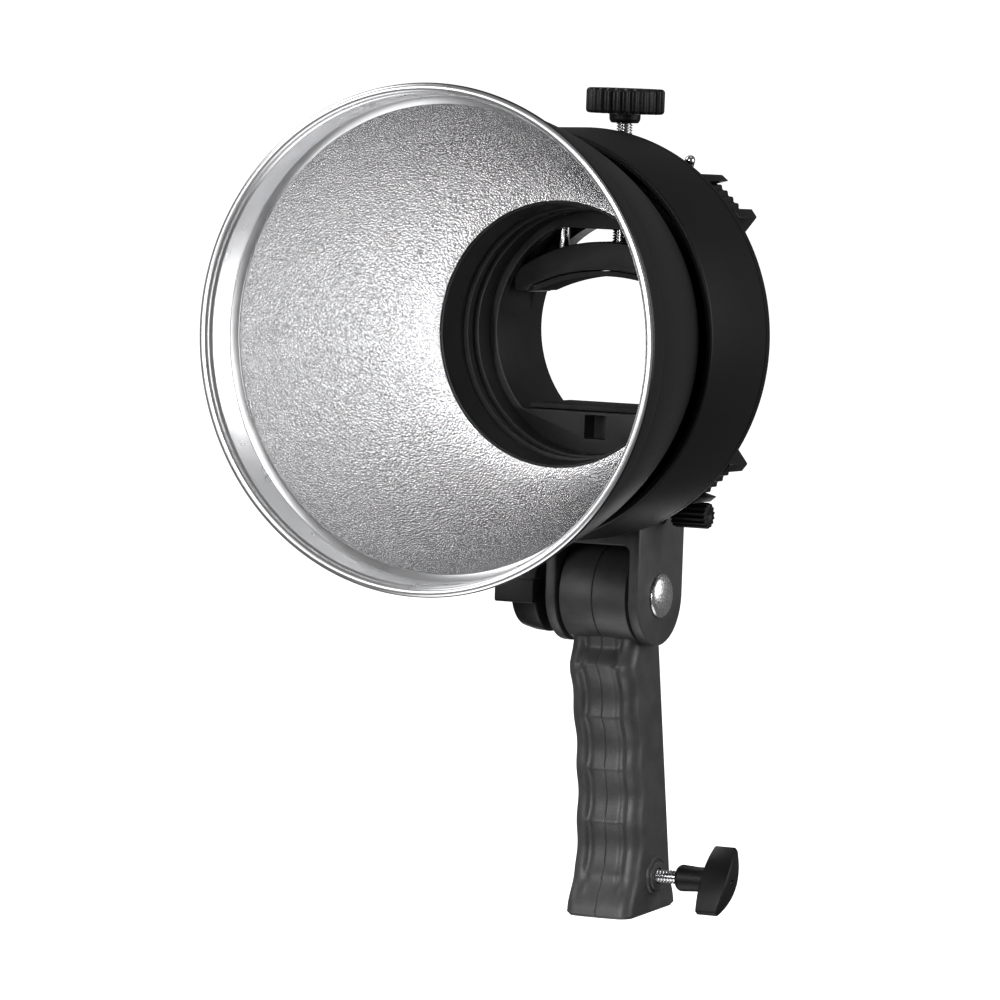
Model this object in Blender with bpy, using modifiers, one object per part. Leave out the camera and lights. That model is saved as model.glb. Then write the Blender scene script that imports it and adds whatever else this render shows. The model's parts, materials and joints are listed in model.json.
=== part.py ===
"""Handheld speedlite bracket: a finger grip with a stand socket, a tilting clamp head and a bayonet reflector.

The frame has +Z up and -Y towards the subject that is lit. The origin is the centre of the stand socket's
mouth, under the foot of the grip. Lengths in this file are millimetres and are turned into metres when a
mesh is made. Pieces of the head are drawn as if it stood level, and hang on an empty that tilts it.
"""
import math

import bmesh
import bpy
from mathutils import Matrix, Vector

MM = 0.001
GAP = 0.3                     # left between pieces that touch

# Grip
PIVOT_Y, PIVOT_Z = -7.4, 119.0     # tilt axis, which runs along X
GRIP_HALF = 13.5                   # half width of the grip
GRIP_WALL = 2.6
CORNER = 6.0                       # corner radius of its section
SEAM = 0.15                        # from each half shell to the middle plane
RIDGES = [15 + 19.6 * i for i in range(5)]   # heights of the ridges between the fingers
BARREL_R, BARREL_HALF = 18.0, 13.6
SOCKET_BORE, SOCKET_OUT, SOCKET_DEEP = 8.1, 9.4, 43.0
LOCK_Z = 13.5                      # stand lock screw above the foot
BOSS_R, BOSS_END = 7.3, 15.3
SHELL_SCREWS = [(-7.9, 90.0), (-2.9, 73.0), (0.6, 56.0)]   # Y and Z of the screws that join the shells

# Head, from the tilt axis: the optical axis lies AXIS_UP above it, and the drum's back plane at BACK
HEAD_TILT = 4.4                    # degrees, front up, as it stands at rest
AXIS_UP, BACK = 96.0, -30.0
REFLECTOR_R, RIM_Y = 90.0, -126.7
COLLAR_END = 20.0                  # depth of the smooth collar behind the rim
NECK_R, NECK_Y = 48.0, -21.7
SHEET = 1.2
DRUM_R, DRUM_FRONT, DRUM_WALL = 74.7, -49.0, 2.6
CLAW_R, LUG_R = 50.1, 53.4         # bore between the claws, and reach of the reflector's three lugs
LUG_ARC, TWIST = 34.0, 20.0        # degrees
BORE_R = 45.0
COVER_BACK, FRAME_BACK, FRAME_R = 9.7, 46.0, 50.0
CLAMP_Y = 25.0                     # screw, rods and jaw
OPENING_R, OPENING_TOP, BED_Z = 41.7, 37.6, -27.0
YOKE_Y, YOKE_R, YOKE_HALF, YOKE_SLOT = 30.0, 18.5, 19.0, 14.8
YOKE_TOP, ARCH_Z = -54.3, -77.4
UMBRELLA_Z, UMBRELLA_R = -65.5, 4.9
ROD_X, ROD_R = 23.5, 2.4
LEVER_ANGLE, LEVER_R = 60.0, 57.5

for leftover in list(bpy.data.objects):
    bpy.data.objects.remove(leftover)

parts = bpy.data.collections.new("speedlite_bracket")
cutters = bpy.data.collections.new("cutters")
for group in (parts, cutters):
    bpy.context.scene.collection.children.link(group)


def finish(name, rgb, roughness, metallic=0.0):
    material = bpy.data.materials.new(name)
    material.use_nodes = True
    shader = material.node_tree.nodes["Principled BSDF"]
    shader.inputs["Base Color"].default_value = (*rgb, 1)
    shader.inputs["Roughness"].default_value = roughness
    shader.inputs["Metallic"].default_value = metallic
    return material


BLACK = finish("black_plastic", (0.018, 0.018, 0.019), 0.42)
GREY = finish("textured_plastic", (0.035, 0.035, 0.037), 0.6)
PAINT = finish("black_paint", (0.02, 0.02, 0.021), 0.35)
RUBBER = finish("rubber", (0.012, 0.012, 0.012), 0.85)
ALUMINIUM = finish("pebbled_aluminium", (0.8, 0.8, 0.81), 0.3, 1.0)
CHROME = finish("chrome", (0.75, 0.75, 0.76), 0.12, 1.0)
STEEL = finish("steel", (0.45, 0.45, 0.46), 0.35, 1.0)
BRASS = finish("brass", (0.7, 0.52, 0.25), 0.35, 1.0)
NYLON = finish("nylon", (0.6, 0.6, 0.57), 0.5)

TURNS = {"X": (0, math.pi / 2, 0), "Y": (-math.pi / 2, 0, 0), "Z": (0, 0, 0)}
FACES = {"X": (math.pi / 2, 0, math.pi / 2), "Y": (math.pi / 2, 0, 0), "Z": (0, 0, 0)}


def empty(name, place, parent=None):
    marker = bpy.data.objects.new(name, None)
    parts.objects.link(marker)
    marker.parent = parent
    marker.location = Vector(place) * MM
    return marker


grip_axis = empty("grip_axis", (0, 0, 0))
head_axis = empty("head_axis", (0, PIVOT_Y, PIVOT_Z))
head_axis.rotation_euler.x = -math.radians(HEAD_TILT)
optics = empty("optical_axis", (0, BACK, AXIS_UP), head_axis)     # level with the drum's back plane
reflector_axis = empty("reflector_axis", (0, 0, 0), optics)
jaw_axis = empty("jaw_axis", (0, CLAMP_Y, 0), optics)
lever_axis = empty("lever_axis", (0, 0, 0), optics)
umbrella_axis = empty("umbrella_lock_axis", (0, YOKE_Y, UMBRELLA_Z), optics)
tilt_knob_axis = empty("tilt_knob_axis", (0, 0, 0), head_axis)
stand_lock_axis = empty("stand_lock_axis", (0, 0, LOCK_Z))


def place(mesh, name, parent, material, at=(0, 0, 0), turn=(0, 0, 0)):
    """Puts a mesh on a node, or on a cutter where there is no material."""
    piece = bpy.data.objects.new(name, mesh)
    piece.parent = parent
    piece.location = Vector(at) * MM
    piece.rotation_euler = turn
    if material is None:
        cutters.objects.link(piece)
        piece.hide_render = True
        piece.display_type = "WIRE"
    else:
        parts.objects.link(piece)
        mesh.materials.clear()
        mesh.materials.append(material)
        mesh.shade_smooth()
        mesh.set_sharp_from_angle(angle=math.radians(32))
    return piece


def mesh_of(build):
    mesh = bpy.data.meshes.new("mesh")
    bm = bmesh.new()
    build(bm)
    bmesh.ops.recalc_face_normals(bm, faces=bm.faces)
    bm.to_mesh(mesh)
    bm.free()
    return mesh


def turned(name, profile, parent, material, axis="Y", at=(0, 0, 0), steps=48, ring=True):
    """A turned piece. The profile holds (radius, place along the axis) and runs down its outer side first."""
    mesh = bpy.data.meshes.new(name)
    last = len(profile) - 1
    edges = [(i, i + 1) for i in range(last)] + ([(last, 0)] if ring else [])
    mesh.from_pydata([(r * MM, 0, h * MM) for r, h in profile], edges, [])
    piece = place(mesh, name, parent, material, at, TURNS[axis])
    screw = piece.modifiers.new("turn", "SCREW")
    screw.steps = screw.render_steps = steps
    screw.use_merge_vertices = True
    screw.merge_threshold = 1e-6
    screw.use_smooth_shade = True
    return piece


def rod(name, radius, span, parent, material, axis="Y", at=(0, 0, 0), steps=20):
    """A plain cylinder between two places along its axis."""
    low, high = span
    return turned(name, [(0, high), (radius, high), (radius, low), (0, low)], parent, material, axis, at, steps, False)


def tube(name, outer, inner, span, parent, material, axis="Y", at=(0, 0, 0), steps=24):
    low, high = span
    profile = [(outer, high), (outer, low), (inner, low), (inner, high)]
    return turned(name, profile, parent, material, axis, at, steps)


def block(name, low, high, parent, material, bevel=0.0):
    middle = (Vector(low) + Vector(high)) / 2
    size = Vector(high) - Vector(low)

    def build(bm):
        bmesh.ops.create_cube(bm, size=MM)
        bmesh.ops.scale(bm, vec=size, verts=bm.verts)

    piece = place(mesh_of(build), name, parent, material, middle)
    if bevel:
        soften(piece, bevel)
    return piece


def plate(name, outlines, span, parent, material, face="Y", at=(0, 0, 0)):
    """A flat piece: closed outlines, the first outside and the rest holes, between two places along its axis."""
    flat = bpy.data.curves.new(name, "CURVE")
    flat.dimensions = "2D"
    flat.fill_mode = "BOTH"
    flat.extrude = (span[1] - span[0]) / 2 * MM
    for outline in outlines:
        spline = flat.splines.new("POLY")
        spline.points.add(len(outline) - 1)
        spline.use_cyclic_u = True
        for point, (u, v) in zip(spline.points, outline):
            point.co = (u * MM, v * MM, 0, 1)
    source = bpy.data.objects.new(name + "_outline", flat)
    cutters.objects.link(source)
    bpy.context.view_layer.update()
    mesh = bpy.data.meshes.new_from_object(source.evaluated_get(bpy.context.evaluated_depsgraph_get()))
    bpy.data.objects.remove(source)
    bm = bmesh.new()
    bm.from_mesh(mesh)
    bmesh.ops.remove_doubles(bm, verts=bm.verts, dist=1e-6)
    bmesh.ops.recalc_face_normals(bm, faces=bm.faces)
    bm.to_mesh(mesh)
    bm.free()
    shift = {"X": (1, 0, 0), "Y": (0, 1, 0), "Z": (0, 0, 1)}[face]
    middle = Vector(at) + Vector(shift) * (span[0] + span[1]) / 2
    return place(mesh, name, parent, material, middle, FACES[face])


def loft(name, rings, parent, material):
    """A solid through rings of equally many points, closed with a flat face at each end."""
    def build(bm):
        levels = [[bm.verts.new(Vector(p) * MM) for p in ring] for ring in rings]
        count = len(levels[0])
        for below, above in zip(levels, levels[1:]):
            for i in range(count):
                j = (i + 1) % count
                bm.faces.new((below[i], below[j], above[j], above[i]))
        bm.faces.new(levels[0])
        bm.faces.new(levels[-1])

    return place(mesh_of(build), name, parent, material)


def boolean(piece, tool, operation):
    step = piece.modifiers.new(operation.lower(), "BOOLEAN")
    step.operation = operation
    step.object = tool
    step.solver = "EXACT"


def cut(piece, *tools):
    for tool in tools:
        boolean(piece, tool, "DIFFERENCE")


def join(piece, *tools):
    for tool in tools:
        boolean(piece, tool, "UNION")


def soften(piece, width, segments=1, angle=40):
    """Rounds the sharp edges."""
    bevel = piece.modifiers.new("soften", "BEVEL")
    bevel.width = width * MM
    bevel.segments = segments
    bevel.limit_method = "ANGLE"
    bevel.angle_limit = math.radians(angle)


def arc(radius, start, end, count, centre=(0, 0)):
    """Points along an arc, angles in degrees."""
    turns = [math.radians(start + (end - start) * i / (count - 1)) for i in range(count)]
    return [(centre[0] + radius * math.cos(t), centre[1] + radius * math.sin(t)) for t in turns]


def rounded(low, high, radius, count=4):
    """A rectangle with round corners, anticlockwise."""
    corners = [((high[0] - radius, high[1] - radius), 0), ((low[0] + radius, high[1] - radius), 90),
               ((low[0] + radius, low[1] + radius), 180), ((high[0] - radius, low[1] + radius), 270)]
    return [p for centre, start in corners for p in arc(radius, start, start + 90, count, centre)]


def smooth(t):
    t = min(max(t, 0.0), 1.0)
    return t * t * (3 - 2 * t)


def on_circle(radius, degrees):
    return radius * math.cos(math.radians(degrees)), radius * math.sin(math.radians(degrees))


# ---------------------------------------------------------------- grip

def grip_front(z):
    """Y of the grip's front: a long hollow with a scallop for each finger, a lip at the foot and a neck on top."""
    y = -14.5 - 0.0026 * (min(z, RIDGES[-1]) - 42) ** 2
    if RIDGES[0] < z < RIDGES[-1]:
        t = (z - RIDGES[0]) / (RIDGES[1] - RIDGES[0]) % 1.0
        y += 2.2 * (1 - (2 * t - 1) ** 2)
    y -= 3.4 * smooth((15 - z) / 12)
    return y + 4.6 * smooth((z - RIDGES[-1]) / 7)


def grip_back(z):
    return 17.1 - 0.106 * z + 2.4 * smooth((14 - z) / 12)


def grip_ring(z, inset=0.0):
    """Outline of the grip at a height: a rectangle with round corners."""
    low = (-GRIP_HALF + inset, grip_front(z) + inset)
    high = (GRIP_HALF - inset, grip_back(z) - inset)
    return [(x, y, z) for x, y in rounded(low, high, CORNER - inset, 3)]


def half_ring(z, side):
    """The same outline on one side of the plane X = 0."""
    front, back = grip_front(z), grip_back(z)
    out = GRIP_HALF - CORNER
    points = [(SEAM, front)] + arc(CORNER, 270, 360, 4, (out, front + CORNER))
    points += arc(CORNER, 0, 90, 4, (out, back - CORNER)) + [(SEAM, back)]
    return [(side * x, y, z) for x, y in points]


def grip_levels(low, high, count):
    return [low + (high - low) * i / (count - 1) for i in range(count)]


def grip_shell(name, side):
    """One half of the grip. Both halves meet in the plane X = 0."""
    shell = loft(name, [half_ring(z, side) for z in grip_levels(0, 108, 37)], grip_axis, GREY)
    span = sorted((side * SEAM, side * BARREL_HALF))
    barrel = rod(name + "_barrel", BARREL_R, span, grip_axis, None, "X", (0, PIVOT_Y, PIVOT_Z), 40)
    join(shell, barrel)
    if side > 0:
        join(shell, rod(name + "_boss", BOSS_R, (6, BOSS_END), grip_axis, None, "X", (0, 0, LOCK_Z), 24))
    low_room = loft(name + "_low_room", [grip_ring(z, GRIP_WALL) for z in grip_levels(3.6, 38.0, 5)], grip_axis, None)
    cut(low_room, rod(name + "_lock_post", 6.0, (8.5, 13.0), grip_axis, None, "X", (0, 0, LOCK_Z), 16))
    high_room = loft(name + "_high_room", [grip_ring(z, GRIP_WALL) for z in grip_levels(45.0, 98.0, 9)],
                     grip_axis, None)
    for i, (y, z) in enumerate(SHELL_SCREWS):
        cut(high_room, rod(f"{name}_post_{i}", 3.4, (-12, 12), grip_axis, None, "X", (0, y, z), 12))
    cut(shell, low_room, high_room)
    for i, (y, z) in enumerate(SHELL_SCREWS):
        seat = 3.2 if side < 0 else 1.9
        stepped = [(0, 9.6), (1.9, 9.6), (1.9, -11.3), (seat, -11.3), (seat, -20), (0, -20)]
        cut(shell, turned(f"{name}_hole_{i}", stepped, grip_axis, None, "X", (0, y, z), 12, False))
    cut(shell, rod(name + "_sleeve_bore", SOCKET_OUT + GAP, (-1, SOCKET_DEEP + 0.6), grip_axis, None, "Z", steps=32))
    cut(shell, rod(name + "_nut_bore", 4.3, (8, 20), grip_axis, None, "X", (0, 0, LOCK_Z), 16))
    cut(shell, rod(name + "_bush_bore", 6.3, (-20, 20), grip_axis, None, "X", (0, PIVOT_Y, PIVOT_Z), 30))
    return shell


def grip_parts():
    grip_shell("grip_shell_left", -1)
    grip_shell("grip_shell_right", 1)
    sleeve = tube("stand_socket", SOCKET_OUT, SOCKET_BORE, (0.2, SOCKET_DEEP), grip_axis, STEEL, "Z", steps=32)
    cut(sleeve, rod("stand_lock_way", 3.2, (2, 20), grip_axis, None, "X", (0, 0, LOCK_Z)))
    tube("stand_lock_nut", 4.0, 2.7, (9.8, BOSS_END - 0.5), grip_axis, STEEL, "X", (0, 0, LOCK_Z))
    tube("pivot_bush", 6.0, 4.4, (-13.4, 13.4), grip_axis, STEEL, "X", (0, PIVOT_Y, PIVOT_Z))
    for i, (y, z) in enumerate(SHELL_SCREWS):
        turned(f"shell_screw_{i + 1}", [(0, 8.8), (1.5, 8.8), (1.5, -11.4), (2.9, -11.4), (2.9, -13.3), (0, -13.3)],
               grip_axis, STEEL, "X", (0, y, z), 12, False)


def wing(name, length, width, span, crown, parent, material, lean):
    """A thumb wing across the X axis: a lens along its length, highest in the middle of its outer face."""
    low, high = span
    tip = 1.2
    along = Vector((0, math.cos(lean), math.sin(lean)))
    across = Vector((0, -math.sin(lean), math.cos(lean)))
    rings = []
    for i in range(13):
        t = i / 6 - 1
        middle = along * t * length / 2
        half = across * (tip + (width / 2 - tip) * (1 - t * t))
        face = high + crown * (1 - t * t)
        rings.append([middle + half * side + Vector((x, 0, 0))
                      for side, x in ((-1, low), (-1, face), (1, face), (1, low))])
    return loft(name, rings, parent, material)


def stand_lock():
    """Thumb screw that clamps a stand's stud in the socket."""
    knob = wing("stand_lock_knob", 28.0, 9.4, (34.4, 43.0), 2.2, stand_lock_axis, BLACK, math.radians(52.5))
    neck = turned("stand_lock_neck", [(0, 37), (4.6, 37), (4.6, 31), (5.0, 24.6), (4.2, 23.4), (0, 23.4)],
                  stand_lock_axis, None, "X", steps=24, ring=False)
    join(knob, neck)
    rest = 9.1
    cut(knob, rod("stand_lock_stud_seat", 2.8, (20, 37.4), stand_lock_axis, None, "X", steps=16))
    rod("stand_lock_stud", 2.35, (rest, 37.0), stand_lock_axis, CHROME, "X", steps=20)


# ---------------------------------------------------------------- reflector

def bowl(t):
    """Radius and place of the bowl's inside, from the collar (0) to the neck (1)."""
    start, end = RIM_Y + COLLAR_END, NECK_Y - 0.9
    power = 1.5
    top = REFLECTOR_R - 7.0
    u = math.sin(t * math.pi / 2) ** (2 / power)
    return NECK_R + 0.3 + (top - NECK_R - 0.3) * (1 - u ** power) ** (1 / power), start + (end - start) * u


def reflector_dish():
    inside = [(REFLECTOR_R - 3.8, RIM_Y + 0.5), (REFLECTOR_R - 4.6, RIM_Y + 15.5), (REFLECTOR_R - 6.6, RIM_Y + 17)]
    inside += [bowl(i / 12) for i in range(13)]
    outside = []
    for before, here, after in zip(inside[:1] + inside, inside, inside[1:] + inside[-1:]):
        along = Vector((after[0] - before[0], after[1] - before[1])).normalized()
        outside.append((here[0] + along.y * SHEET, here[1] - along.x * SHEET))
    outside[-1] = (inside[-1][0], inside[-1][1] + SHEET)
    bead = [(REFLECTOR_R - 3.4, RIM_Y), (REFLECTOR_R - 0.6, RIM_Y), (REFLECTOR_R, RIM_Y + 0.9),
            (REFLECTOR_R, RIM_Y + 2.2), (REFLECTOR_R - 0.8, RIM_Y + 3.0)]
    outside[0] = (outside[1][0] + 0.6, RIM_Y + 3.0)
    loop = list(reversed(outside)) + list(reversed(bead)) + inside
    turned("reflector_dish", loop, reflector_axis, ALUMINIUM, steps=56)


def reflector_ring():
    """Mount ring with three bayonet lugs behind the dish, and a flange with the slot for the lock pin."""
    profile = [(61.0, -17.7), (61.0, -20.4), (NECK_R, -20.4), (NECK_R, -22.4), (NECK_R - 0.7, -22.4),
               (45.9, -11.3), (45.9, -7.6), (49.5, -7.6), (49.5, -17.7)]
    ring = turned("reflector_ring", profile, reflector_axis, BLACK, steps=60)
    for i in range(3):
        middle = 90 + 120 * i
        span = (middle - LUG_ARC / 2, middle + LUG_ARC / 2)
        outline = arc(LUG_R, *span, 6) + arc(48.5, *reversed(span), 6)
        join(ring, plate(f"reflector_lug_{i}", [outline], (-10.6, -7.9), reflector_axis, None))
    span = (LEVER_ANGLE - 3, LEVER_ANGLE + TWIST + 3)
    slot = arc(LEVER_R + 2.4, *span, 8) + arc(LEVER_R - 2.4, *reversed(span), 8)
    cut(ring, plate("lock_pin_slot", [slot], (-22, -16), reflector_axis, None))


# ---------------------------------------------------------------- drum and bayonet

def drum_housing():
    inner = DRUM_R - DRUM_WALL
    profile = [(DRUM_R - 2.2, 0), (DRUM_R - 0.6, -0.7), (DRUM_R, -2.4), (DRUM_R, DRUM_FRONT + 0.8),
               (DRUM_R - 0.8, DRUM_FRONT), (inner, DRUM_FRONT), (inner, -3.2), (BORE_R + 1.3, -3.2), (BORE_R + 1.3, 0)]
    drum = turned("drum_housing", profile, optics, BLACK, steps=64)
    cut(drum, lever_hole("drum_pin_hole", -6, 2))
    for i in range(3):
        x, z = on_circle(57.5, 90 + 120 * i)
        cut(drum, rod(f"drum_screw_hole_{i}", 1.9, (-6, 2), optics, None, at=(x, 0, z), steps=12))
    for i, (x, z) in enumerate(cover_screws()):
        cut(drum, rod(f"drum_cover_hole_{i}", 1.9, (-6, 2), optics, None, at=(x, 0, z), steps=12))


def lever_hole(name, start, end, radius=2.4):
    x, z = on_circle(LEVER_R, LEVER_ANGLE)
    return rod(name, radius, (start, end), optics, None, at=(x, 0, z), steps=16)


def bayonet_socket():
    """Claw ring: the reflector's lugs go in through three gaps and turn behind the claws."""
    profile = [(62.0, -3.5), (62.0, -17.3), (CLAW_R, -17.3), (CLAW_R, -11.3), (LUG_R + 0.6, -11.3),
               (LUG_R + 0.6, -6.8), (BORE_R, -6.8), (BORE_R, -3.5)]
    socket = turned("bayonet_socket", profile, optics, BLACK, steps=60)
    for i in range(3):
        middle = 90 + 120 * i - TWIST
        span = (middle - LUG_ARC / 2 - 1, middle + LUG_ARC / 2 + 1)
        gate = arc(LUG_R + 0.25, *span, 6) + arc(CLAW_R - 2, *reversed(span), 6)
        cut(socket, plate(f"claw_gap_{i}", [gate], (-19, -10.5), optics, None))
        x, z = on_circle(57.5, 90 + 120 * i)
        cut(socket, rod(f"socket_screw_hole_{i}", 1.4, (-13, -2), optics, None, at=(x, 0, z), steps=12))
        turned(f"socket_screw_{i + 1}", [(0, 2.0), (3.0, 2.0), (3.0, 0.3), (1.2, 0.3), (1.2, -12), (0, -12)],
               optics, STEEL, at=(x, 0, z), steps=12, ring=False)
    cut(socket, lever_hole("socket_pin_hole", -19, -2))


# ---------------------------------------------------------------- cover behind the drum

def cover_screws():
    return [(sx * 47.5, sz * 46.0) for sx in (1, -1) for sz in (1, -1)]


def corner_outline(sx, sz):
    """A corner bracket: two fins that reach the drum's radius, and a toothed arc between them."""
    fin_top, fin_low, shelf, tip = 59.3, 56.0, 47.4, 44.6
    recess = 70.8
    start = math.degrees(math.asin(fin_low / recess))
    end = math.degrees(math.asin(shelf / recess))
    teeth = 8
    arc_points = [on_circle(recess + (0.8 if i % 2 else 0.0), start + (end - start) * i / teeth)
                  for i in range(teeth + 1)]
    outer = DRUM_R - 0.1
    points = [(36.4, fin_top), (math.sqrt(outer ** 2 - fin_top ** 2), fin_top),
              (math.sqrt(outer ** 2 - 57.2 ** 2), 57.2)] + arc_points
    points += [(math.sqrt(outer ** 2 - shelf ** 2), shelf), (math.sqrt(outer ** 2 - tip ** 2), tip),
               (54.6, 38.0), (44.0, 30.0), (30.0, 42.0), (36.4, 52.0)]
    points = [(sx * x, sz * z) for x, z in points]
    return points if sx * sz < 0 else list(reversed(points))


def rear_cover():
    """Ring behind the drum that carries the clamp frame, with a bracket in each corner."""
    profile = [(62.0, COVER_BACK), (63.0, COVER_BACK - 1), (63.0, GAP), (BORE_R + 1.0, GAP),
               (BORE_R + 1.0, COVER_BACK)]
    cover = turned("rear_cover", profile, optics, BLACK, steps=60)
    for i, (sx, sz) in enumerate(((1, 1), (-1, 1), (1, -1), (-1, -1))):
        join(cover, plate(f"corner_{i}", [corner_outline(sx, sz)], (GAP, 15.0), optics, None))
    for i, (x, z) in enumerate(cover_screws()):
        cut(cover, rod(f"cover_hole_{i}", 1.9, (-1, 16), optics, None, at=(x, 0, z), steps=12))
        cut(cover, rod(f"cover_seat_{i}", 3.5, (12, 16), optics, None, at=(x, 0, z), steps=12))
        turned(f"cover_screw_{i + 1}", [(0, 14.3), (3.1, 14.3), (3.1, 12.4), (1.5, 12.4), (1.5, -5), (0, -5)],
               optics, STEEL, at=(x, 0, z), steps=12, ring=False)
    for i in range(3):
        x, z = on_circle(57.5, 90 + 120 * i)
        cut(cover, rod(f"cover_clear_{i}", 3.5, (-1, 2.4), optics, None, at=(x, 0, z), steps=12))
    cut(cover, lever_hole("cover_pin_hole", -1, 12))
    cut(cover, lever_hole("cover_spring_room", -1, 8.6, 4.0))


def release_lever():
    """Sprung pin that locks the reflector, with an arm and a ball to pull it back."""
    x, z = on_circle(LEVER_R, LEVER_ANGLE)
    end_x, end_z = 34.0, 64.2
    pin = turned("lock_pin", [(0, 9.9), (2.0, 9.9), (2.0, -18.6), (1.4, -19.4), (0, -19.4)], lever_axis, CHROME,
                 at=(x, 0, z), steps=16, ring=False)
    join(pin, rod("pin_collar", 3.5, (0.5, 1.5), lever_axis, None, at=(x, 0, z), steps=16))
    run = Vector((end_x - x, end_z - z))
    side = Vector((-run.y, run.x)).normalized() * 2.3
    ends = [(x, z), (end_x, end_z)]
    outline = [(ends[0][0] - side.x, ends[0][1] - side.y), (ends[1][0] - side.x * 0.6, ends[1][1] - side.y * 0.6),
               (ends[1][0] + side.x * 0.6, ends[1][1] + side.y * 0.6), (ends[0][0] + side.x, ends[0][1] + side.y)]
    outline += [(x - run.normalized().x * 3.0, z - run.normalized().y * 3.0)]
    arm = plate("release_lever", [outline], (10.2, 12.2), lever_axis, BLACK)
    soften(arm, 0.4)

    def ball(bm):
        bmesh.ops.create_uvsphere(bm, u_segments=16, v_segments=10, radius=1.9 * MM)

    place(mesh_of(ball), "release_ball", lever_axis, CHROME, (end_x + 0.6, 8.0, end_z + 0.8))
    turns, points = 2, 12
    wire = bpy.data.curves.new("pin_spring", "CURVE")
    wire.dimensions = "3D"
    wire.bevel_depth = 0.3 * MM
    wire.bevel_resolution = 2
    wire.use_fill_caps = True
    spline = wire.splines.new("POLY")
    spline.points.add(turns * points)
    for i, point in enumerate(spline.points):
        u, v = on_circle(2.9, 360 * i / points)
        point.co = ((x + u) * MM, (2.15 + 1.3 * i / (turns * points)) * MM, (z + v) * MM, 1)
    spring = bpy.data.objects.new("pin_spring", wire)
    spring.parent = lever_axis
    wire.materials.append(STEEL)
    parts.objects.link(spring)


# ---------------------------------------------------------------- clamp

def frame_outline():
    """Outside of the clamp frame: a circle with flat sides and a flat foot for the yoke."""
    side, foot_half, foot = 45.0, 19.0, YOKE_TOP + GAP
    turn = math.degrees(math.acos(side / FRAME_R))
    low = math.degrees(math.acos(foot_half / FRAME_R))
    return (arc(FRAME_R, turn, 180 - turn, 15) + arc(FRAME_R, 180 + turn, 180 + low, 4)
            + [(-foot_half, foot), (foot_half, foot)] + arc(FRAME_R, 360 - low, 360 - turn, 4))


def flash_opening(radius, top, bottom):
    """A circle with a flat top and bottom."""
    high = math.degrees(math.asin(top / radius))
    low = math.degrees(math.asin(-bottom / radius))
    return arc(radius, -low, high, 12) + arc(radius, 180 - high, 180 + low, 12)


def clamp_frame():
    front = COVER_BACK + GAP
    frame = plate("clamp_frame", [frame_outline()], (front, FRAME_BACK), optics, BLACK)
    join(frame, block("nut_tower", (-9, 15, 40), (9, 35, 66), optics, None))
    cut(frame, plate("flash_way", [flash_opening(OPENING_R, OPENING_TOP, BED_Z - 2)], (5, 60), optics, None))
    room = [p for p in flash_opening(46.0, OPENING_TOP + 0.2, BED_Z - 2) if p[1] > 0]
    room += [(-41.4, 4.0), (41.4, 4.0)]
    room = [(max(-41.4, min(41.4, x)), z) for x, z in room]
    cut(frame, plate("jaw_room", [room], (14.0, 36.0), optics, None))
    cut(frame, block("window", (-4.4, 5, -39), (4.4, 18, -30.2), optics, None))
    cut(frame, rod("screw_way", 3.4, (30, 70), optics, None, "Z", (0, CLAMP_Y, 0), 20))
    cut(frame, rod("nut_seat", 5.4, (54, 70), optics, None, "Z", (0, CLAMP_Y, 0), 20))
    for side in (-1, 1):
        cut(frame, rod(f"rod_way_{side}", ROD_R + GAP, (30, 60), optics, None, "Z", (side * ROD_X, CLAMP_Y, 0), 16))
    for i, (x, y) in enumerate(yoke_screws()):
        cut(frame, rod(f"yoke_thread_{i}", 1.5, (YOKE_TOP - 5, -44), optics, None, "Z", (x, y, 0), 12))
    tube("screw_nut", 5.1, 3.3, (54.3, 65.7), optics, BRASS, "Z", (0, CLAMP_Y, 0))
    block("bed_pad", (-28, 12, BED_Z - 1.7), (28, 44, BED_Z), optics, RUBBER, 0.5)


def clamp_jaw():
    """Upper jaw on two rods; the screw above pushes it onto the flash."""
    half, crown, shoulder = 38.0, 33.0, 20.5
    top_r = (half ** 2 + (crown - shoulder) ** 2) / (2 * (crown - shoulder))
    spread = math.degrees(math.asin(half / top_r))
    top = arc(top_r, 90 - spread, 90 + spread, 11, (0, crown - top_r))
    inner, arch, foot = 31.0, 22.5, 13.0
    low_r = 72.0
    dip = math.degrees(math.asin(inner / low_r))
    bottom = arc(low_r, 90 + dip, 90 - dip, 9, (0, arch - low_r))
    outline = top + [(-half, foot), (-inner - 1.5, foot)] + bottom + [(inner + 1.5, foot), (half, foot)]
    jaw = plate("upper_jaw", [outline], (-10, 10), jaw_axis, BLACK)
    cut(jaw, rod("jaw_screw_way", 3.4, (20, 40), jaw_axis, None, "Z", steps=20))
    cut(jaw, block("clip_room", (-6.5, -6.5, 15), (6.5, 6.5, 28.0), jaw_axis, None))
    for side in (-1, 1):
        cut(jaw, rod(f"jaw_rod_seat_{side}", ROD_R + GAP, (20.2, 40), jaw_axis, None, "Z", (side * ROD_X, 0, 0), 16))
        rod(f"guide_rod_{'left' if side < 0 else 'right'}", ROD_R, (20.6, 58), jaw_axis, CHROME, "Z",
            (side * ROD_X, 0, 0), 20)
    pad_low = arc(low_r - 2.2, 90 + dip, 90 - dip, 9, (0, arch - low_r))
    pad_high = arc(low_r - GAP, 90 - dip, 90 + dip, 9, (0, arch - low_r))
    plate("jaw_pad", [pad_low + pad_high], (-9, 9), jaw_axis, RUBBER)
    turned("clamp_screw", [(0, 84), (3, 84), (3, 27.2), (2.2, 27.2), (2.2, 25.9), (2.9, 25.9), (2.9, 24.6), (0, 24.6)],
           jaw_axis, CHROME, "Z", steps=20, ring=False)
    tube("screw_clip", 5.0, 2.5, (26.2, 26.9), jaw_axis, STEEL, "Z")
    clamp_knob()


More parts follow.
